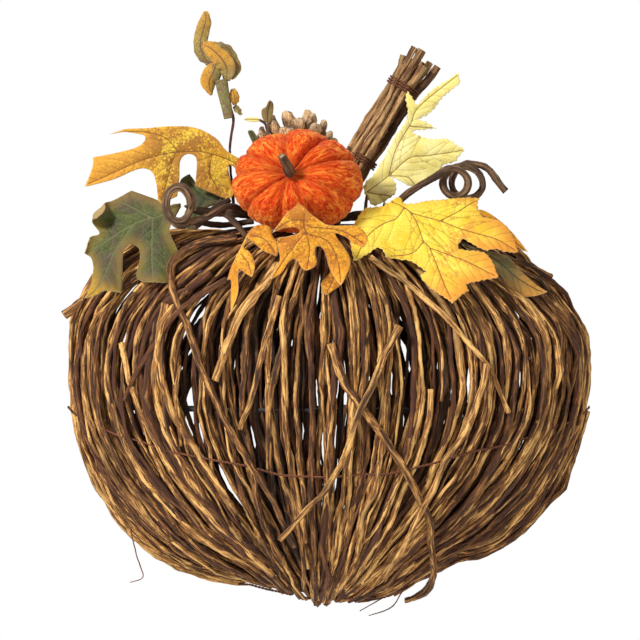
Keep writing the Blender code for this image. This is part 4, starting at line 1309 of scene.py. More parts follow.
def build_leaves():
    gold = leaf_material("gold_leaf_look", (0.72, 0.38, 0.02), (0.92, 0.66, 0.06), (0.36, 0.15, 0.02),
                         (0.82, 0.38, 0.04), (0.20, 0.08, 0.015), (0.45, 0.30, 0.12), 0.56,
                         (0.045, 0.11), (0.95, 0.72, 0.08))
    green = leaf_material("green_leaf_look", (0.020, 0.033, 0.004), (0.070, 0.088, 0.011),
                          (0.085, 0.060, 0.034), (0.66, 0.37, 0.035), (0.15, 0.155, 0.055),
                          (0.52, 0.35, 0.14), 0.57, (0.074, 0.099), (0.14, 0.15, 0.045), 420, 0.45)
    dark = leaf_material("dark_green_leaf_look", (0.035, 0.055, 0.015), (0.09, 0.12, 0.035),
                         (0.07, 0.055, 0.03), (0.20, 0.14, 0.03), (0.02, 0.03, 0.01),
                         (0.12, 0.10, 0.05), 0.48, (0.03, 0.06), (0.12, 0.14, 0.06), 420, 0.3)
    yellow = leaf_material("yellow_leaf_look", (0.86, 0.60, 0.025), (0.98, 0.80, 0.09), (0.78, 0.40, 0.05),
                           (0.82, 0.31, 0.035), (0.28, 0.080, 0.02), (0.62, 0.42, 0.12), 0.45,
                           (0.052, 0.092), (0.98, 0.86, 0.24), 420, 0.24)
    pale = leaf_material("pale_leaf_look", (0.78, 0.66, 0.16), (0.95, 0.86, 0.36), (0.55, 0.42, 0.10),
                         (0.85, 0.72, 0.22), (0.24, 0.13, 0.03), (0.60, 0.50, 0.22), 0.38,
                         (0.05, 0.11), (0.95, 0.88, 0.50), 420, 0.16)
    olive = leaf_material("olive_leaf_look", (0.075, 0.075, 0.028), (0.15, 0.14, 0.055), (0.24, 0.12, 0.035),
                          (0.56, 0.26, 0.04), (0.05, 0.035, 0.015), (0.24, 0.17, 0.09), 0.45,
                          (0.026, 0.050), (0.22, 0.20, 0.09), 430, 0.3)
    orange = leaf_material("orange_leaf_look", (0.74, 0.27, 0.012), (0.95, 0.47, 0.030), (0.42, 0.13, 0.012),
                           (1.00, 0.42, 0.028), (0.20, 0.07, 0.015), (0.32, 0.22, 0.10), 0.53,
                           (0.026, 0.056), (0.92, 0.62, 0.08))
    teeth = (0.0011, 0.0042)
    build_leaf("gold_oak_leaf_cloth", (GOLD_OAK, GOLD_OAK_VEINS, None),
               ((-0.0660, -0.0480, 0.0440), -4.0, 5.0),
               ("gold_oak_leaf", "gold_oak_leaf", "gold_leaf", gold),
               (((-0.080, 0.0), (-1, -0.15), 0.180, 1.2, 1.0),
                ((-0.086, 0.026), (-0.6, 0.8), 0.012, 1.2, 1.0),
                ((-0.045, -0.006), (0, -1), 0.070, 1.0, 1.0)), 0.3, 0.0007, 3)
    build_leaf("green_leaf_cloth", (GREEN, GREEN_VEINS, None),
               ((-0.1080, -0.0860, 0.0130), -12.0, -14.0), ("green_leaf", "root", "green_leaf", green),
               (((-0.0627, -0.0190), (-0.937, 0.35), 0.0030, 2.9, 1.0),
                ((-0.050, -0.052), (-0.4, -1), 0.035, 1.1, 1.0)), 0.8, 0.0012, 5)
    build_leaf("dark_green_leaf_cloth", (DARK_GREEN, DARK_GREEN_VEINS, None),
               ((-0.0780, -0.0360, 0.0260), -4.0, -22.0),
               ("dark_green_leaf", "root", "dark_green_leaf", dark), (), 0.8, 0.0008, 7)
    build_leaf("yellow_maple_leaf_cloth", (YELLOW_MAPLE, YELLOW_MAPLE_VEINS, teeth),
               ((0.0434, -0.0970, 0.0150), 9.0, -24.0),
               ("yellow_maple_leaf", "yellow_maple_leaf", "yellow_leaf", yellow),
               (((0.035, -0.060), (0.2, -1), 0.080, 1.0, 1.0), ((0.080, -0.02), (1, -0.3), 0.070, 1.0, -1.0),
                ((0.04, -0.001), (0.1, 1), 0.020, 0.9, -1.0)), 0.3, 0.0009, 11)
    build_leaf("pale_maple_leaf_cloth", (PALE_MAPLE, PALE_MAPLE_VEINS, teeth),
               ((0.0290, -0.0560, 0.0240), 2.0, -2.0), ("pale_maple_leaf", "root", "pale_leaf", pale),
               (((0.055, 0.030), (1, 0), 0.120, 1.0, 1.0), ((0.050, 0.070), (0.7, 0.7), 0.150, 1.0, -1.0)),
               0.35, 0.0012, 13)
    build_leaf("olive_leaf_cloth", (OLIVE, OLIVE_VEINS, None),
               ((0.1140, -0.0900, -0.0190), 26.0, -16.0), ("olive_leaf", "root", "olive_leaf", olive),
               (((0.040, -0.030), (0.8, -0.6), 0.020, 0.8, 1.0),), 1.0, 0.0006, 17)
    build_leaf("orange_edge_leaf_cloth", (EDGE, EDGE_VEINS, None),
               ((0.1120, -0.0630, 0.0090), 14.0, -8.0), ("orange_edge_leaf", "root", "orange_leaf", orange),
               (((0.010, -0.002), (0.5, 0.8), 0.004, 1.6, 1.0),), 0.5, 0.0006, 19)
    build_leaf("orange_oak_leaf_cloth", (ORANGE_OAK, ORANGE_OAK_VEINS, None),
               ((-0.0076, -0.1460, 0.0010), 2.0, 9.0),
               ("orange_oak_leaf", "orange_oak_leaf", "orange_leaf", orange),
               (((-0.012, 0.003), (-0.3, 1), 0.012, 1.1, -1.0),
                ((0.010, -0.030), (0.2, -1), 0.030, 0.8, 1.0)),
               0.8, 0.0009, 23)
    build_leaf("small_gold_leaf_cloth", (SMALL_GOLD, SMALL_GOLD_VEINS, None),
               ((-0.0500, -0.1260, -0.0110), -9.0, -6.0),
               ("small_gold_leaf", "small_gold_leaf", "gold_leaf", orange),
               (((-0.016, -0.034), (-0.2, -1), 0.020, 0.9, 1.0),), 1.0, 0.0007, 29)
    build_leaf("small_orange_leaf_cloth", (SMALL_ORANGE, SMALL_ORANGE_VEINS, None),
               ((0.0060, -0.1290, -0.0340), 2.0, -6.0), ("small_orange_leaf", "root", "orange_leaf", orange),
               (), 0.8, 0.0004, 31)
    build_leaf("small_brown_leaf_cloth", (SMALL_BROWN, SMALL_BROWN_VEINS, None),
               ((-0.0460, -0.0500, 0.0760), 0.0, 0.0), ("small_brown_leaf", "root", "olive_leaf", olive),
               (((0, 0.012), (0.2, 1), 0.008, 1.2, 1.0),), 1.0, 0.0003, 37)
    build_leaf("small_cream_leaf_cloth", (SMALL_CREAM, SMALL_CREAM_VEINS, None),
               ((-0.0508, -0.0485, 0.0790), 4.0, -8.0), (None, "root", "pale_leaf", pale),
               (), 1.0, 0.0002, 41)
    build_leaf("small_green_leaf_cloth", (SMALL_GREEN, SMALL_GREEN_VEINS, None),
               ((-0.0538, -0.0495, 0.0585), -8.0, 4.0), (None, "root", "dark_green_leaf", dark),
               (), 1.0, 0.0002, 43)


# ---------------------------------------------------------------- the curled leaf spray

# Strips of the spray, each as (x, y, z, half width, turn of its face in degrees) along it
SPRAY_RIBBONS = (
    ((-0.0926, -0.0420, 0.1618, 0.0016, 10), (-0.0929, -0.0430, 0.1543, 0.0046, 15),
     (-0.0952, -0.0440, 0.1458, 0.0052, 10), (-0.0968, -0.0440, 0.1380, 0.0052, -5),
     (-0.0955, -0.0430, 0.1300, 0.0060, -25), (-0.0915, -0.0420, 0.1240, 0.0055, -45),
     (-0.0870, -0.0405, 0.1200, 0.0035, -60)),
    ((-0.0950, -0.0475, 0.1362, 0.0022, 0), (-0.0900, -0.0480, 0.1340, 0.0052, 10),
     (-0.0850, -0.0480, 0.1300, 0.0060, 12), (-0.0795, -0.0475, 0.1240, 0.0068, 5),
     (-0.0765, -0.0465, 0.1170, 0.0062, -15), (-0.0775, -0.0455, 0.1090, 0.0030, -35)),
    ((-0.0860, -0.0420, 0.1385, 0.0025, 70), (-0.0800, -0.0405, 0.1370, 0.0042, 60),
     (-0.0752, -0.0400, 0.1325, 0.0045, 35), (-0.0725, -0.0405, 0.1250, 0.0048, 15),
     (-0.0705, -0.0420, 0.1175, 0.0042, -20), (-0.0745, -0.0430, 0.1110, 0.0028, -50)),
    ((-0.0835, -0.0430, 0.1235, 0.0030, 0), (-0.0868, -0.0440, 0.1160, 0.0066, 10),
     (-0.0902, -0.0440, 0.1075, 0.0062, 20), (-0.0882, -0.0430, 0.0980, 0.0010, 30)),
    ((-0.0722, -0.0440, 0.1030, 0.0016, 0), (-0.0712, -0.0450, 0.0985, 0.0036, 15),
     (-0.0703, -0.0450, 0.0940, 0.0036, 25), (-0.0705, -0.0440, 0.0905, 0.0014, 30)),
    ((-0.0712, -0.0430, 0.0900, 0.0016, 20), (-0.0680, -0.0440, 0.0870, 0.0030, 40),
     (-0.0652, -0.0440, 0.0835, 0.0016, 60)),
)
SPRAY_ROLL = (
    (-0.0806, -0.0440, 0.1095), (-0.0790, -0.0440, 0.1000), (-0.0768, -0.0438, 0.0900),
    (-0.0750, -0.0435, 0.0805),
)
SPRAY_ROLL_RADIUS = 0.0060
SPRAY_STEM = (
    (-0.0715, -0.0420, 0.0120), (-0.0745, -0.0421, 0.0360), (-0.0757, -0.0424, 0.0564),
    (-0.0742, -0.0428, 0.0688), (-0.0722, -0.0432, 0.0805), (-0.0765, -0.0438, 0.0950),
    (-0.0790, -0.0440, 0.1100), (-0.0840, -0.0425, 0.1220), (-0.0930, -0.0425, 0.1330),
    (-0.0940, -0.0425, 0.1480),
)
RIBBON_ACROSS = 10
# How far towards the orange of a leaf's tip each strip's colour goes: axis, from, to, reach at each
SPRAY_REACH = {
    0: (2, 0.125, 0.160, 0.008, 0.034),
    1: (2, 0.110, 0.131, 0.006, 0.046),
    3: (0, -0.0890, -0.0855, 0.040, 0.000),
    4: (2, 0.090, 0.103, 0.050, 0.050),
}


def spray_ribbon(stations, seed):
    """A curled strip of leaf: points in a grid, and each point's share across the strip."""
    rows = np.array(stations, dtype=float)
    path = smooth_route(rows[:, :3], 8)
    widths = smooth_route(np.column_stack([rows[:, 3], rows[:, 4], 0 * rows[:, 3]]), 8)
    tangent = np.gradient(path, axis=0)
    tangent /= np.linalg.norm(tangent, axis=1)[:, None]
    across = np.cross(tangent, (0, -1.0, 0))
    across /= np.linalg.norm(across, axis=1)[:, None]
    facing = np.cross(across, tangent)
    turn = np.radians(widths[:, 1])[:, None]
    side = across * np.cos(turn) + facing * np.sin(turn)
    out = np.cross(side, tangent)
    share = np.linspace(-1, 1, RIBBON_ACROSS + 1)
    half = np.maximum(1.05 * widths[:, 0], 0.0006)[:, None, None]
    wave = 0.0006 * np.sin(np.arange(len(path)) * 0.9 + seed)[:, None, None] * share[None, :, None] ** 2
    points = path[:, None] + side[:, None] * half * share[None, :, None]
    points = points + out[:, None] * (-0.20 * half * share[None, :, None] ** 2 + wave)
    return points, share


def grid_faces(rows, cols):
    faces = []
    for r in range(rows - 1):
        for c in range(cols - 1):
            a, b = r * cols + c, r * cols + c + 1
            faces += [(a, b, a + cols), (b, b + cols, a + cols)]
    return faces


def build_spray(material, bark):
    """The tall curled leaf: folded strips, a rolled blade and a thin red-brown stem."""
    parts = []
    for seed, stations in enumerate(SPRAY_RIBBONS):
        grid, share = spray_ribbon(stations, seed)
        rows, cols = grid.shape[:2]
        edge = np.tile((1 - np.abs(share)) * 0.005, rows)
        vein = np.tile(np.abs(share) * 0.005, rows)
        parts.append((grid.reshape(-1, 3), grid_faces(rows, cols), vein, edge, seed))
    path = smooth_route(SPRAY_ROLL, 10)
    _, side, other = frames_along(path)
    turn = np.linspace(0.3, 2 * pi * 1.15, 30)
    radius = SPRAY_ROLL_RADIUS * np.linspace(1.0, 0.62, len(turn))
    taper = np.linspace(1.0, 0.75, len(path))[:, None, None]
    ring = np.cos(turn)[None, :, None] * side[:, None] + np.sin(turn)[None, :, None] * other[:, None]
    grid = path[:, None] + ring * radius[None, :, None] * taper
    points = grid.reshape(-1, 3)
    faces = grid_faces(len(path), len(turn))
    parts.append((points, faces, np.full(len(points), 0.004), np.full(len(points), 0.010), 9))
    verts, all_faces, count = [], [], 0
    facts = {"vein": [], "fine_vein": [], "edge": [], "reach": [], "place": [], "under": []}
    for points, faces, vein, edge, seed in parts:
        normals = vertex_normals(points, faces)
        both, closed = add_sides(points, faces, normals)
        verts.append(both)
        all_faces += [tuple(k + count for k in f) for f in closed]
        count += len(both)
        axis, start, end, reach_start, reach_end = SPRAY_REACH.get(seed, (2, 0.0, 1.0, 0.0, 0.0))
        reach = np.interp(points[:, axis], (start, end), (reach_start, reach_end))
        facts["vein"].append(np.tile(vein, 2))
        facts["fine_vein"].append(np.full(len(both), 0.01))
        facts["edge"].append(np.tile(edge, 2))
        facts["reach"].append(np.tile(reach, 2))
        facts["place"].append(both + 0.31 * seed)
        facts["under"].append(np.concatenate([np.zeros(len(points)), np.ones(len(points))]))
    mesh = bpy.data.meshes.new("leaf_spray_cloth")
    mesh.from_pydata(np.vstack(verts).tolist(), [], all_faces)
    for key, values in facts.items():
        if key == "place":
            store_vector(mesh, key, np.vstack(values))
        else:
            store_value(mesh, key, np.concatenate(values))
    piece = finish_mesh("leaf_spray_cloth", mesh, material)
    settle(piece, "leaf_spray", "leaf_spray")
    rng = np.random.RandomState(700)
    heap = Heap()
    add_twig(heap, rng, smooth_route(SPRAY_STEM, 8), 0.0011, 0.6, 0.05, sides=10, step=0.002,
             kinks=0.0002, knots=False)
    stem = heap.make("leaf_spray_stem", bark)
    settle(stem, "leaf_spray")


# ---------------------------------------------------------------- velvet pumpkin

VELVET_SIZE = np.array((0.0498, 0.0415, 0.0395))
VELVET_TURN = Matrix.Rotation(radians(-8.0), 3, "Z") @ Matrix.Rotation(radians(80.0), 3, "X")
VELVET_RADIUS = 0.045
VELVET_FOLDS = 0.00055
VELVET_SEAMS = 9
VELVET_SEAM_JITTER = 0.13
VELVET_SEAM_DEPTHS = (0.0022, 0.0046)
VELVET_SEAM_WIDTH = 0.0034
# How deep the dimples at its two ends are
VELVET_DIMPLES = (0.0105, 0.006)
VELVET_START = 0.93
VELVET_CAP = 0.006
VELVET_VOXEL = 0.004
VELVET_PRESSURE = 4.0
VELVET_FRAMES = 20
VELVET_TWIG = (
    (-0.0281, -0.1330, 0.0350), (-0.0295, -0.1400, 0.0385), (-0.0318, -0.1450, 0.0430),
    (-0.0338, -0.1475, 0.0470),
)


def inflate(piece, pressure, cap):
    """Swell a closed mesh with Blender's cloth, then keep each point within a cap."""
    before = np.empty(3 * len(piece.data.vertices))
    piece.data.vertices.foreach_get("co", before)
    cloth = piece.modifiers.new("swell", "CLOTH")
    cloth.settings.use_pressure = True
    cloth.settings.uniform_pressure_force = pressure
    cloth.settings.effector_weights.gravity = 0
    cloth.settings.quality = 5
    cloth.point_cache.frame_start = 1
    cloth.point_cache.frame_end = VELVET_FRAMES
    scene = bpy.context.scene
    for frame_number in range(1, VELVET_FRAMES + 1):
        scene.frame_set(frame_number)
    made = piece.evaluated_get(bpy.context.evaluated_depsgraph_get())
    after = np.empty_like(before)
    made.data.vertices.foreach_get("co", after)
    piece.modifiers.remove(cloth)
    scene.frame_set(1)
    move = (after - before).reshape(-1, 3)
    size = np.linalg.norm(move, axis=1)[:, None]
    move = move * np.minimum(1, cap / np.maximum(size, 1e-9))
    piece.data.vertices.foreach_set("co", (before.reshape(-1, 3) + move).ravel())
    piece.data.update()


def take_modifiers(piece):
    """Apply every modifier of a piece to its mesh."""
    made = piece.evaluated_get(bpy.context.evaluated_depsgraph_get())
    mesh = bpy.data.meshes.new_from_object(made)
    piece.modifiers.clear()
    piece.data = mesh


def velvet_material():
    n = Nodes("velvet_look")
    rays = n.attribute("rays", "Vector")
    crush = n.noise(rays, 190, 5, 0.62, 1.4)
    strands = n.noise(rays, 620, 4, 0.7, 0.6)
    pile = n.noise(n.add("ShaderNodeTexCoord").outputs["Object"], 1500, 3, 0.6)
    field = n.math("ADD", n.weighed(crush, 0.5), n.weighed(strands, 0.32))
    field = n.math("ADD", field, n.weighed(pile, 0.18))
    color = n.ramp(field, ((0.41, (0.50, 0.018, 0.003)), (0.48, (0.74, 0.065, 0.006)),
                           (0.53, (0.86, 0.17, 0.014)), (0.60, (0.93, 0.36, 0.06))))
    # Painted shade: the velvet darkens in the valleys of its seams
    color = n.mix(n.weighed(n.attribute("seam_shade"), 0.55), color, (0.42, 0.015, 0.003))
    normal = n.bump(crush, 0.0016, 0.6)
    normal = n.bump(strands, 0.0007, 0.7, normal)
    normal = n.bump(pile, 0.0003, 0.6, normal)
    n.shader.inputs["Sheen Weight"].default_value = 0.55
    n.shader.inputs["Sheen Roughness"].default_value = 0.35
    n.shader.inputs["Sheen Tint"].default_value = (1.0, 0.50, 0.18, 1)
    n.shader.inputs["Specular IOR Level"].default_value = 0.15
    return n.finish(color, strands, normal, 0.75, 0.98)


def velvet_body():
    """A ball of even mesh, swelled by cloth at pressure and then smoothed."""
    mesh = bpy.data.meshes.new("velvet_start")
    bm = bmesh.new()
    bmesh.ops.create_uvsphere(bm, u_segments=54, v_segments=28, radius=1.0)
    for vert in bm.verts:
        local = VELVET_TURN @ vert.co
        vert.co = Vector(np.array(local) * VELVET_SIZE * VELVET_START)
    bm.to_mesh(mesh)
    bm.free()
    piece = bpy.data.objects.new("velvet_pumpkin_cloth", mesh)
    wreath.objects.link(piece)
    remesh = piece.modifiers.new("even", "REMESH")
    remesh.mode = "VOXEL"
    remesh.voxel_size = VELVET_VOXEL
    take_modifiers(piece)
    inflate(piece, VELVET_PRESSURE, VELVET_CAP)
    smooth = piece.modifiers.new("smooth", "SUBSURF")
    smooth.levels = 2
    smooth.render_levels = 2
    take_modifiers(piece)
    return piece


def velvet_gathers(around, polar, rng):
    """How far each point moves out, and how deep it lies in the seams from 0 to 1, which the velvet look
    darkens as painted shade.
    """
    seams = np.linspace(-pi, pi, VELVET_SEAMS, endpoint=False)
    seams = seams + rng.uniform(-VELVET_SEAM_JITTER, VELVET_SEAM_JITTER, VELVET_SEAMS)
    gap = np.abs((around[:, None] - seams[None] + pi) % (2 * pi) - pi)
    nearest = np.argmin(gap, 1)
    away = gap.min(1) * np.sin(polar) * VELVET_RADIUS
    depths = rng.uniform(*VELVET_SEAM_DEPTHS, VELVET_SEAMS)[nearest]
    reach = np.exp(-(((polar - 0.75) / 0.95) ** 2)) + 0.35
    valley = np.exp(-away / VELVET_SEAM_WIDTH)
    push = -depths * valley * reach * np.minimum(1, polar / 0.25)
    push -= (VELVET_DIMPLES[0] * np.exp(-((polar / 0.40) ** 2))
             + VELVET_DIMPLES[1] * np.exp(-(((pi - polar) / 0.4) ** 2)))
    fold = np.sin(23 * around + 2.0 * np.sin(3 * around)) * np.exp(-(((polar - 0.55) / 0.38) ** 2))
    push += VELVET_FOLDS * fold
    push += 0.0007 * np.sin(9 * around + 5 * polar) * np.sin(7 * polar + 2 * np.cos(2 * around))
    push += 0.0004 * np.sin(31 * around + 17 * polar) * np.sin(29 * polar - 8 * around) * np.sin(polar)
    return push, valley * np.minimum(1, reach)


def build_velvet_pumpkin(bark):
    """A padded ball, gathered at its seams and fitted to its CAD box, with a twig for a stem."""
    piece = velvet_body()
    rng = np.random.RandomState(800)
    place = np.empty(3 * len(piece.data.vertices))
    piece.data.vertices.foreach_get("co", place)
    place = place.reshape(-1, 3)
    unit = (place / VELVET_SIZE) @ np.array(VELVET_TURN)
    unit /= np.linalg.norm(unit, axis=1)[:, None]
    polar = np.arccos(np.clip(unit[:, 2], -1, 1))
    around = np.arctan2(unit[:, 1], unit[:, 0])
    push, seam_shade = velvet_gathers(around, polar, rng)
    direction = place / np.linalg.norm(place, axis=1)[:, None]
    place = place + direction * push[:, None]
    low, high = (np.array(v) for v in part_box("velvet_pumpkin"))
    spread = (high - low) / (place.max(0) - place.min(0))
    place = (place - place.min(0)) * spread + low
    piece.data.vertices.foreach_set("co", place.ravel())
    piece.data.update()
    rays = np.column_stack([np.cos(around), np.sin(around), 0.42 * polar]) * VELVET_RADIUS
    store_vector(piece.data, "rays", rays)
    store_value(piece.data, "seam_shade", seam_shade)
    piece.data.materials.clear()
    piece.data.materials.append(velvet_material())
    piece.data.polygons.foreach_set("use_smooth", [True] * len(piece.data.polygons))
    settle(piece, "root", "velvet_pumpkin")
    heap = Heap()
    add_twig(heap, rng, smooth_route(VELVET_TWIG, 10), 0.0036, 0.90, 0.10, sides=14, step=0.0009,
             kinks=0.0002, ridges=0.14)
    settle(heap.make("velvet_pumpkin_twig", bark), "root", "velvet_pumpkin_stem")


# ---------------------------------------------------------------- pinecone

CONE_CENTER = np.array((-0.0255, -0.0385, 0.0480))
CONE_SIZE = np.array((0.0290, 0.0145, 0.0330))
CONE_SCALES = 64
GOLDEN_ANGLE = pi * (3 - sqrt(5))


def cone_material():
    n = Nodes("pinecone_look")
    place = n.add("ShaderNodeTexCoord").outputs["Object"]
    fibre = n.noise(n.scaled(place, (1.0, 1.0, 0.3)), 900, 5, 0.65, 0.6)
    blotch = n.noise(place, 220, 4, 0.6, 0.5)
    wood = n.ramp(fibre, ((0.38, (0.20, 0.09, 0.035)), (0.49, (0.58, 0.33, 0.14)),
                          (0.60, (0.88, 0.62, 0.34))))
    tip = n.attribute("tip")
    color = n.tint(wood, tip, 0.20, 0.75, 0.85, (0.085, 0.04, 0.02))
    color = n.tint(color, blotch, 0.60, 0.48, 0.35, (0.80, 0.62, 0.40))
    normal = n.bump(fibre, 0.0006, 0.9)
    normal = n.bump(blotch, 0.0008, 0.6, normal)
    return n.finish(color, fibre, normal, 0.62, 0.88)


def build_pinecone(material):
    """Overlapping woody scales in a spiral around a dark core."""
    rng = np.random.RandomState(900)
    bm = bmesh.new()
    tips = []

    def add_ball(shape, segments, rings, make_tip):
        made = bmesh.ops.create_uvsphere(bm, u_segments=segments, v_segments=rings, radius=1.0)
        for vert in made["verts"]:
            local = np.array(vert.co)
            tips.append(make_tip(local))
            vert.co = Vector(shape(local))

    add_ball(lambda p: CONE_CENTER + p * CONE_SIZE * 0.86, 20, 14, lambda p: 0.0)
    for k in range(CONE_SCALES):
        s = (k + 0.5) / CONE_SCALES
        height = -0.96 + 1.93 * s
        ring = sqrt(max(1 - height**2, 0.015))
        turn = GOLDEN_ANGLE * k
        out = np.array((cos(turn) * ring, sin(turn) * ring, height))
        root = CONE_CENTER + out * CONE_SIZE
        outward_way = np.array((cos(turn), sin(turn) * 0.9, 0.55 + 1.3 * max(height, -0.2)))
        outward_way /= np.linalg.norm(outward_way)
        side = np.cross((0, 0, 1.0), outward_way)
        side /= np.linalg.norm(side)
        up = np.cross(outward_way, side)
        width = (0.0064 + 0.0020 * ring) * rng.uniform(0.9, 1.1)
        length = 0.0076 * rng.uniform(0.9, 1.15)
        thick = 0.0030 * rng.uniform(0.9, 1.2)
        wobble = rng.uniform(0, 6.28)

        def shape(p, root=root, outward_way=outward_way, side=side, up=up, width=width, length=length,
                  thick=thick, wobble=wobble):
            knob = 0.0013 * np.exp(-((p[0] - 0.75) ** 2 + p[1] ** 2) / 0.10) * (1 if p[2] > 0 else 0.4)
            lump = 1 + 0.09 * sin(5 * p[1] + wobble) * cos(4 * p[0])
            blunt = np.sign(p[0]) * abs(p[0]) ** 0.8
            bow = 0.0016 * p[0] ** 2
            return (root + outward_way * (blunt * length * lump)
                    + side * (p[1] * width * (0.72 + 0.28 * p[0]) * lump)
                    + up * (p[2] * thick * lump + knob + bow))

        add_ball(shape, 14, 8, lambda p: 0.5 + 0.5 * p[0])
    mesh = bpy.data.meshes.new("pinecone_scales_mesh")
    bm.to_mesh(mesh)
    bm.free()
    store_value(mesh, "tip", tips)
    settle(finish_mesh("pinecone_woody", mesh, material), "root", "pinecone")


# ---------------------------------------------------------------- leaf stalks

STALK_RADIUS = 0.0011
# Each stalk runs from the foot of its leaf back to the pick stem; the small cream leaf's ends on
# the small brown leaf's
STALKS = (
    ("orange_oak_stalk", (
        (-0.0070, -0.1445, -0.0005), (-0.0080, -0.1300, -0.0105), (-0.0070, -0.1050, -0.0130),
        (-0.0040, -0.0780, -0.0060), (-0.0020, -0.0545, 0.0030),
    )),
    ("small_gold_stalk", (
        (-0.0490, -0.1245, -0.0100), (-0.0440, -0.1120, -0.0100), (-0.0400, -0.0900, -0.0080),
        (-0.0380, -0.0700, 0.0000), (-0.0360, -0.0550, 0.0050),
    )),
    ("small_orange_stalk", (
        (0.0060, -0.1275, -0.0330), (0.0050, -0.1220, -0.0230), (0.0030, -0.1080, -0.0130),
        (0.0020, -0.0850, -0.0080), (0.0040, -0.0560, 0.0030),
    )),
    ("yellow_maple_stalk", (
        (0.0420, -0.0960, 0.0140), (0.0400, -0.0850, 0.0080), (0.0380, -0.0700, 0.0060),
        (0.0360, -0.0560, 0.0060),
    )),
    ("green_stalk", (
        (-0.1065, -0.0850, 0.0125), (-0.1000, -0.0720, 0.0090), (-0.0900, -0.0600, 0.0085),
        (-0.0800, -0.0545, 0.0085),
    )),
    ("olive_stalk", (
        (0.1130, -0.0890, -0.0170), (0.0950, -0.0780, -0.0060), (0.0700, -0.0620, 0.0050),
        (0.0500, -0.0550, 0.0075),
    )),
    ("pale_maple_stalk", (
        (0.0295, -0.0555, 0.0230), (0.0290, -0.0545, 0.0160), (0.0280, -0.0540, 0.0080),
    )),
    ("gold_oak_stalk", (
        (-0.0650, -0.0490, 0.0430), (-0.0560, -0.0505, 0.0340), (-0.0480, -0.0520, 0.0200),
        (-0.0440, -0.0535, 0.0070),
    )),
    ("dark_green_stalk", (
        (-0.0775, -0.0370, 0.0250), (-0.0810, -0.0410, 0.0190), (-0.0830, -0.0480, 0.0130),
        (-0.0820, -0.0530, 0.0085),
    )),
    ("small_cream_stalk", (
        (-0.0515, -0.0490, 0.0788), (-0.0470, -0.0500, 0.0750), (-0.0445, -0.0512, 0.0640),
    )),
    ("small_green_stalk", (
        (-0.0540, -0.0500, 0.0590), (-0.0480, -0.0515, 0.0400), (-0.0440, -0.0530, 0.0090),
    )),
    ("small_brown_stalk", (
        (-0.0455, -0.0505, 0.0750), (-0.0440, -0.0515, 0.0500), (-0.0420, -0.0530, 0.0200),
        (-0.0410, -0.0535, 0.0070),
    )),
)


def build_stalks(bark):
    """The wired stalk of each leaf, apart from the orange edge leaf, which has none."""
    for number, (name, route) in enumerate(STALKS):
        rng = np.random.RandomState(850 + number)
        heap = Heap()
        add_twig(heap, rng, smooth_route(route, 8), STALK_RADIUS, 1.2, 0.5, sides=8, step=0.0015,
                 kinks=0.0002, knots=False)
        settle(heap.make(name, bark), "root")


# ---------------------------------------------------------------- tendrils and pick stem

PICK_ROUTE = (
    (-0.094, -0.0540, 0.009), (-0.050, -0.0535, 0.006), (0.000, -0.0530, 0.005), (0.052, -0.0540, 0.008),
)
TENDRIL_RADIUS = 0.0027
RIGHT_START = (
    (0.050, -0.0605, 0.011), (0.055, -0.066, 0.018), (0.067, -0.074, 0.027), (0.080, -0.080, 0.034),
)
RIGHT_LOOPS = 2.0
RIGHT_CENTER = np.array((0.0905, -0.0800, 0.0300))
RIGHT_DRIFT = np.array((0.018, 0.020, 0.003))
RIGHT_RADII = (0.010, 0.014)
RIGHT_TAIL = ((0.124, -0.058, 0.037), (0.134, -0.058, 0.0245))
LEFT_START = ((-0.064, -0.0625, 0.009), (-0.074, -0.0800, 0.014), (-0.089, -0.0960, 0.005))
LEFT_LOOPS = 1.875
LEFT_CENTER = np.array((-0.1105, -0.0950, 0.0130))
LEFT_DRIFT = np.array((0.0, -0.012, 0.0))
LEFT_SIZE = (0.0112, 0.0152)
LEFT_SHRINK = 0.30
# Loose runs of the left tendril between its loops and the pick stem
LEFT_RUNS = (
    ((-0.100, -0.0900, -0.0030), (-0.0944, -0.0860, 0.0004), (-0.0866, -0.0780, 0.0097),
     (-0.0742, -0.0700, 0.0175)),
    ((-0.098, -0.0800, 0.0095), (-0.0789, -0.0840, 0.0066), (-0.0664, -0.0860, -0.0043),
     (-0.0580, -0.0840, -0.0140)),
    ((-0.1000, -0.0700, 0.0020), (-0.0800, -0.0660, -0.0020), (-0.0560, -0.0680, 0.0020)),
)


def add_coil(heap, rng, path, taper):
    add_twig(heap, rng, path, TENDRIL_RADIUS, taper, 0.6, sides=16, step=0.0014, kinks=0.00025,
             ridges=0.07, knots=False)


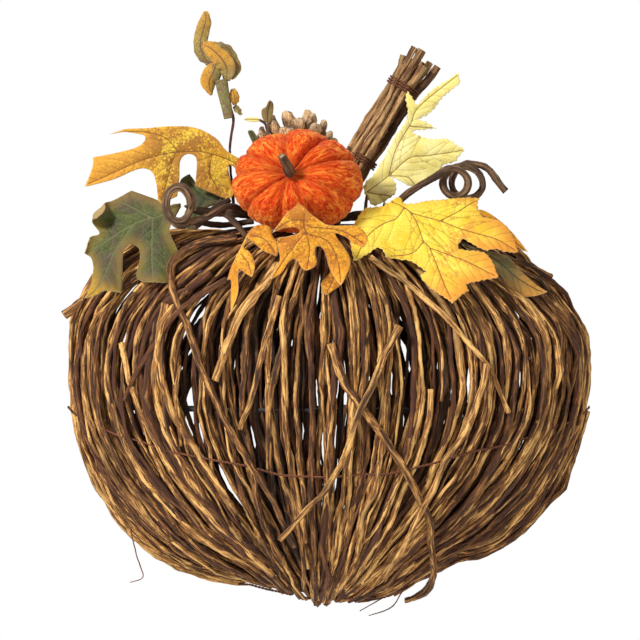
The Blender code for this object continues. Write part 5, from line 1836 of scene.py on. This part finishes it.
def build_tendrils(bark):
    """The curled tendrils on both sides, and the pick stem that everything is wired to."""
    rng = np.random.RandomState(1000)
    s = np.linspace(0, 1, 90)[1:, None]
    turn = pi / 2 + 0.35 - 2 * pi * RIGHT_LOOPS * s
    radius = RIGHT_RADII[0] + (RIGHT_RADII[1] - RIGHT_RADII[0]) * s
    loops = RIGHT_CENTER + RIGHT_DRIFT * s + radius * np.hstack([np.cos(turn), 0 * turn, np.sin(turn)])
    bend = loops[-1] + np.array((0.012, 0.002, -0.002))
    tail = smooth_route([loops[-1], bend, *RIGHT_TAIL], 8)[1:]
    path = np.vstack([smooth_route(RIGHT_START, 8), loops, tail])
    heap = Heap()
    add_coil(heap, rng, path, 0.95)
    settle(heap.make("right_tendril_bark", bark), "root", "right_tendril")

    s = np.linspace(0, 1, 100)[:, None]
    turn = -0.9 - 2 * pi * LEFT_LOOPS * s
    ring = np.hstack([LEFT_SIZE[0] * np.cos(turn), 0 * turn, LEFT_SIZE[1] * np.sin(turn)])
    loops = LEFT_CENTER + LEFT_DRIFT * s + ring * (1 - LEFT_SHRINK * s)
    path = np.vstack([smooth_route(LEFT_START, 8), loops])
    heap = Heap()
    add_coil(heap, rng, path, 0.85)
    for route in LEFT_RUNS:
        add_twig(heap, rng, smooth_route(route, 10), 0.0026, 0.9, 0.3, sides=12, step=0.002, kinks=0.0003)
    settle(heap.make("left_tendril_bark", bark), "root", "left_tendril")

    heap = Heap()
    add_twig(heap, rng, smooth_route(PICK_ROUTE, 12), 0.0037, 0.9, 0.3, sides=14, step=0.002, kinks=0.0003)
    settle(heap.make("pick_stem_bark", bark), "root", "pick_stem")


# ---------------------------------------------------------------- wire frame

FRAME_WIRE = 0.0017
RING_Y = -0.0045
RING_HALF_WIDTH = 0.180
RING_TOP_Z = 0.0
RING_BOTTOM_Z = -0.262
RING_STEP = 0.002
RING_SIDES = 12


def ring_point(turn):
    """A point of the back ring for each angle, from its top around."""
    rise = np.where(np.cos(turn) > 0, RING_TOP_Z - WAIST_Z, WAIST_Z - RING_BOTTOM_Z)
    power = np.where(np.cos(turn) > 0, UPPER_ROUNDNESS, LOWER_ROUNDNESS)
    across = np.abs(np.sin(turn)) ** power * np.sign(np.sin(turn))
    up = np.abs(np.cos(turn)) ** power * np.sign(np.cos(turn))
    return np.stack([RING_HALF_WIDTH * across, np.full_like(turn, RING_Y), WAIST_Z + rise * up], -1)


def build_frame(wire):
    """A round wire in place of the faceted back ring."""
    path = ring_point(np.linspace(0, 2 * pi, 400, endpoint=False))
    path = resample(np.vstack([path, path[:1]]), RING_STEP)[0][:-1]
    tangent = np.roll(path, -1, 0) - np.roll(path, 1, 0)
    tangent /= np.linalg.norm(tangent, axis=1)[:, None]
    side = np.cross(tangent, (0, 1.0, 0))
    side /= np.linalg.norm(side, axis=1)[:, None]
    other = np.cross(tangent, side)
    turn = np.linspace(0, 2 * pi, RING_SIDES, endpoint=False)
    ring = np.cos(turn)[None, :, None] * side[:, None] + np.sin(turn)[None, :, None] * other[:, None]
    verts = (path[:, None] + FRAME_WIRE * ring).reshape(-1, 3)
    faces = []
    for r in range(len(path)):
        near, far = r * RING_SIDES, (r + 1) % len(path) * RING_SIDES
        for c in range(RING_SIDES):
            d = (c + 1) % RING_SIDES
            faces.append((near + c, near + d, far + d, far + c))
    mesh = bpy.data.meshes.new("back_ring_wire")
    mesh.from_pydata(verts.tolist(), [], faces)
    settle(finish_mesh("back_ring_wire", mesh, wire), "root", "back_ring")


KEPT_WIRES = (
    "waist_brace", "waist_hoop", "rib_wire_left", "rib_wire_center", "rib_wire_right", "hanger_loop",
)

build_camera()
build_stage()
SPRAY_LOOK = leaf_material("spray_leaf_look", (0.14, 0.17, 0.045), (0.31, 0.32, 0.105), (0.19, 0.105, 0.058),
                           (0.66, 0.32, 0.030), (0.17, 0.070, 0.030), (0.28, 0.21, 0.12), 0.49,
                           (0.012, 0.044), (0.66, 0.47, 0.14), 620, 0.9)
BARK = bark_material("vine_bark_look", (0.014, 0.006, 0.003), (0.088, 0.031, 0.010), (0.39, 0.162, 0.038),
                     (0.96, 0.55, 0.175), (0.13, 0.038, 0.014))
# Painted shade: a darker bark for the hollow and back vines, standing in for the shade deep inside the form
PAINTED_SHADE_BARK = bark_material("painted_shade_bark_look", (0.010, 0.005, 0.003), (0.055, 0.026, 0.014),
                          (0.17, 0.085, 0.036), (0.34, 0.19, 0.08), (0.05, 0.018, 0.010))
STEM_BARK = bark_material("stem_bark_look", (0.018, 0.008, 0.004), (0.105, 0.044, 0.017),
                          (0.34, 0.165, 0.058), (0.62, 0.38, 0.16), (0.085, 0.032, 0.015), 0.8)
COPPER = wire_material("copper_wire_look", (0.10, 0.035, 0.02), (0.30, 0.12, 0.06), 0.7)
DARK_WIRE = wire_material("dark_wire_look", (0.012, 0.011, 0.010), (0.045, 0.042, 0.040), 0.35)
build_bundles(BARK)
build_hollows(PAINTED_SHADE_BARK)
build_back_vines(PAINTED_SHADE_BARK)
build_crossing_vines(BARK)
build_bindings(COPPER)
build_stem(STEM_BARK, COPPER)
build_leaves()
TENDRIL_BARK = bark_material("tendril_bark_look", (0.022, 0.010, 0.006), (0.065, 0.031, 0.015),
                             (0.15, 0.079, 0.037), (0.32, 0.18, 0.085), (0.06, 0.026, 0.015), 1.2)
build_spray(SPRAY_LOOK, BARK)
build_velvet_pumpkin(STEM_BARK)
build_pinecone(cone_material())
build_tendrils(TENDRIL_BARK)
build_stalks(TENDRIL_BARK)
build_frame(DARK_WIRE)
for node_name in KEPT_WIRES:
    for node_slot in bpy.data.objects[node_name].material_slots:
        node_slot.material = DARK_WIRE
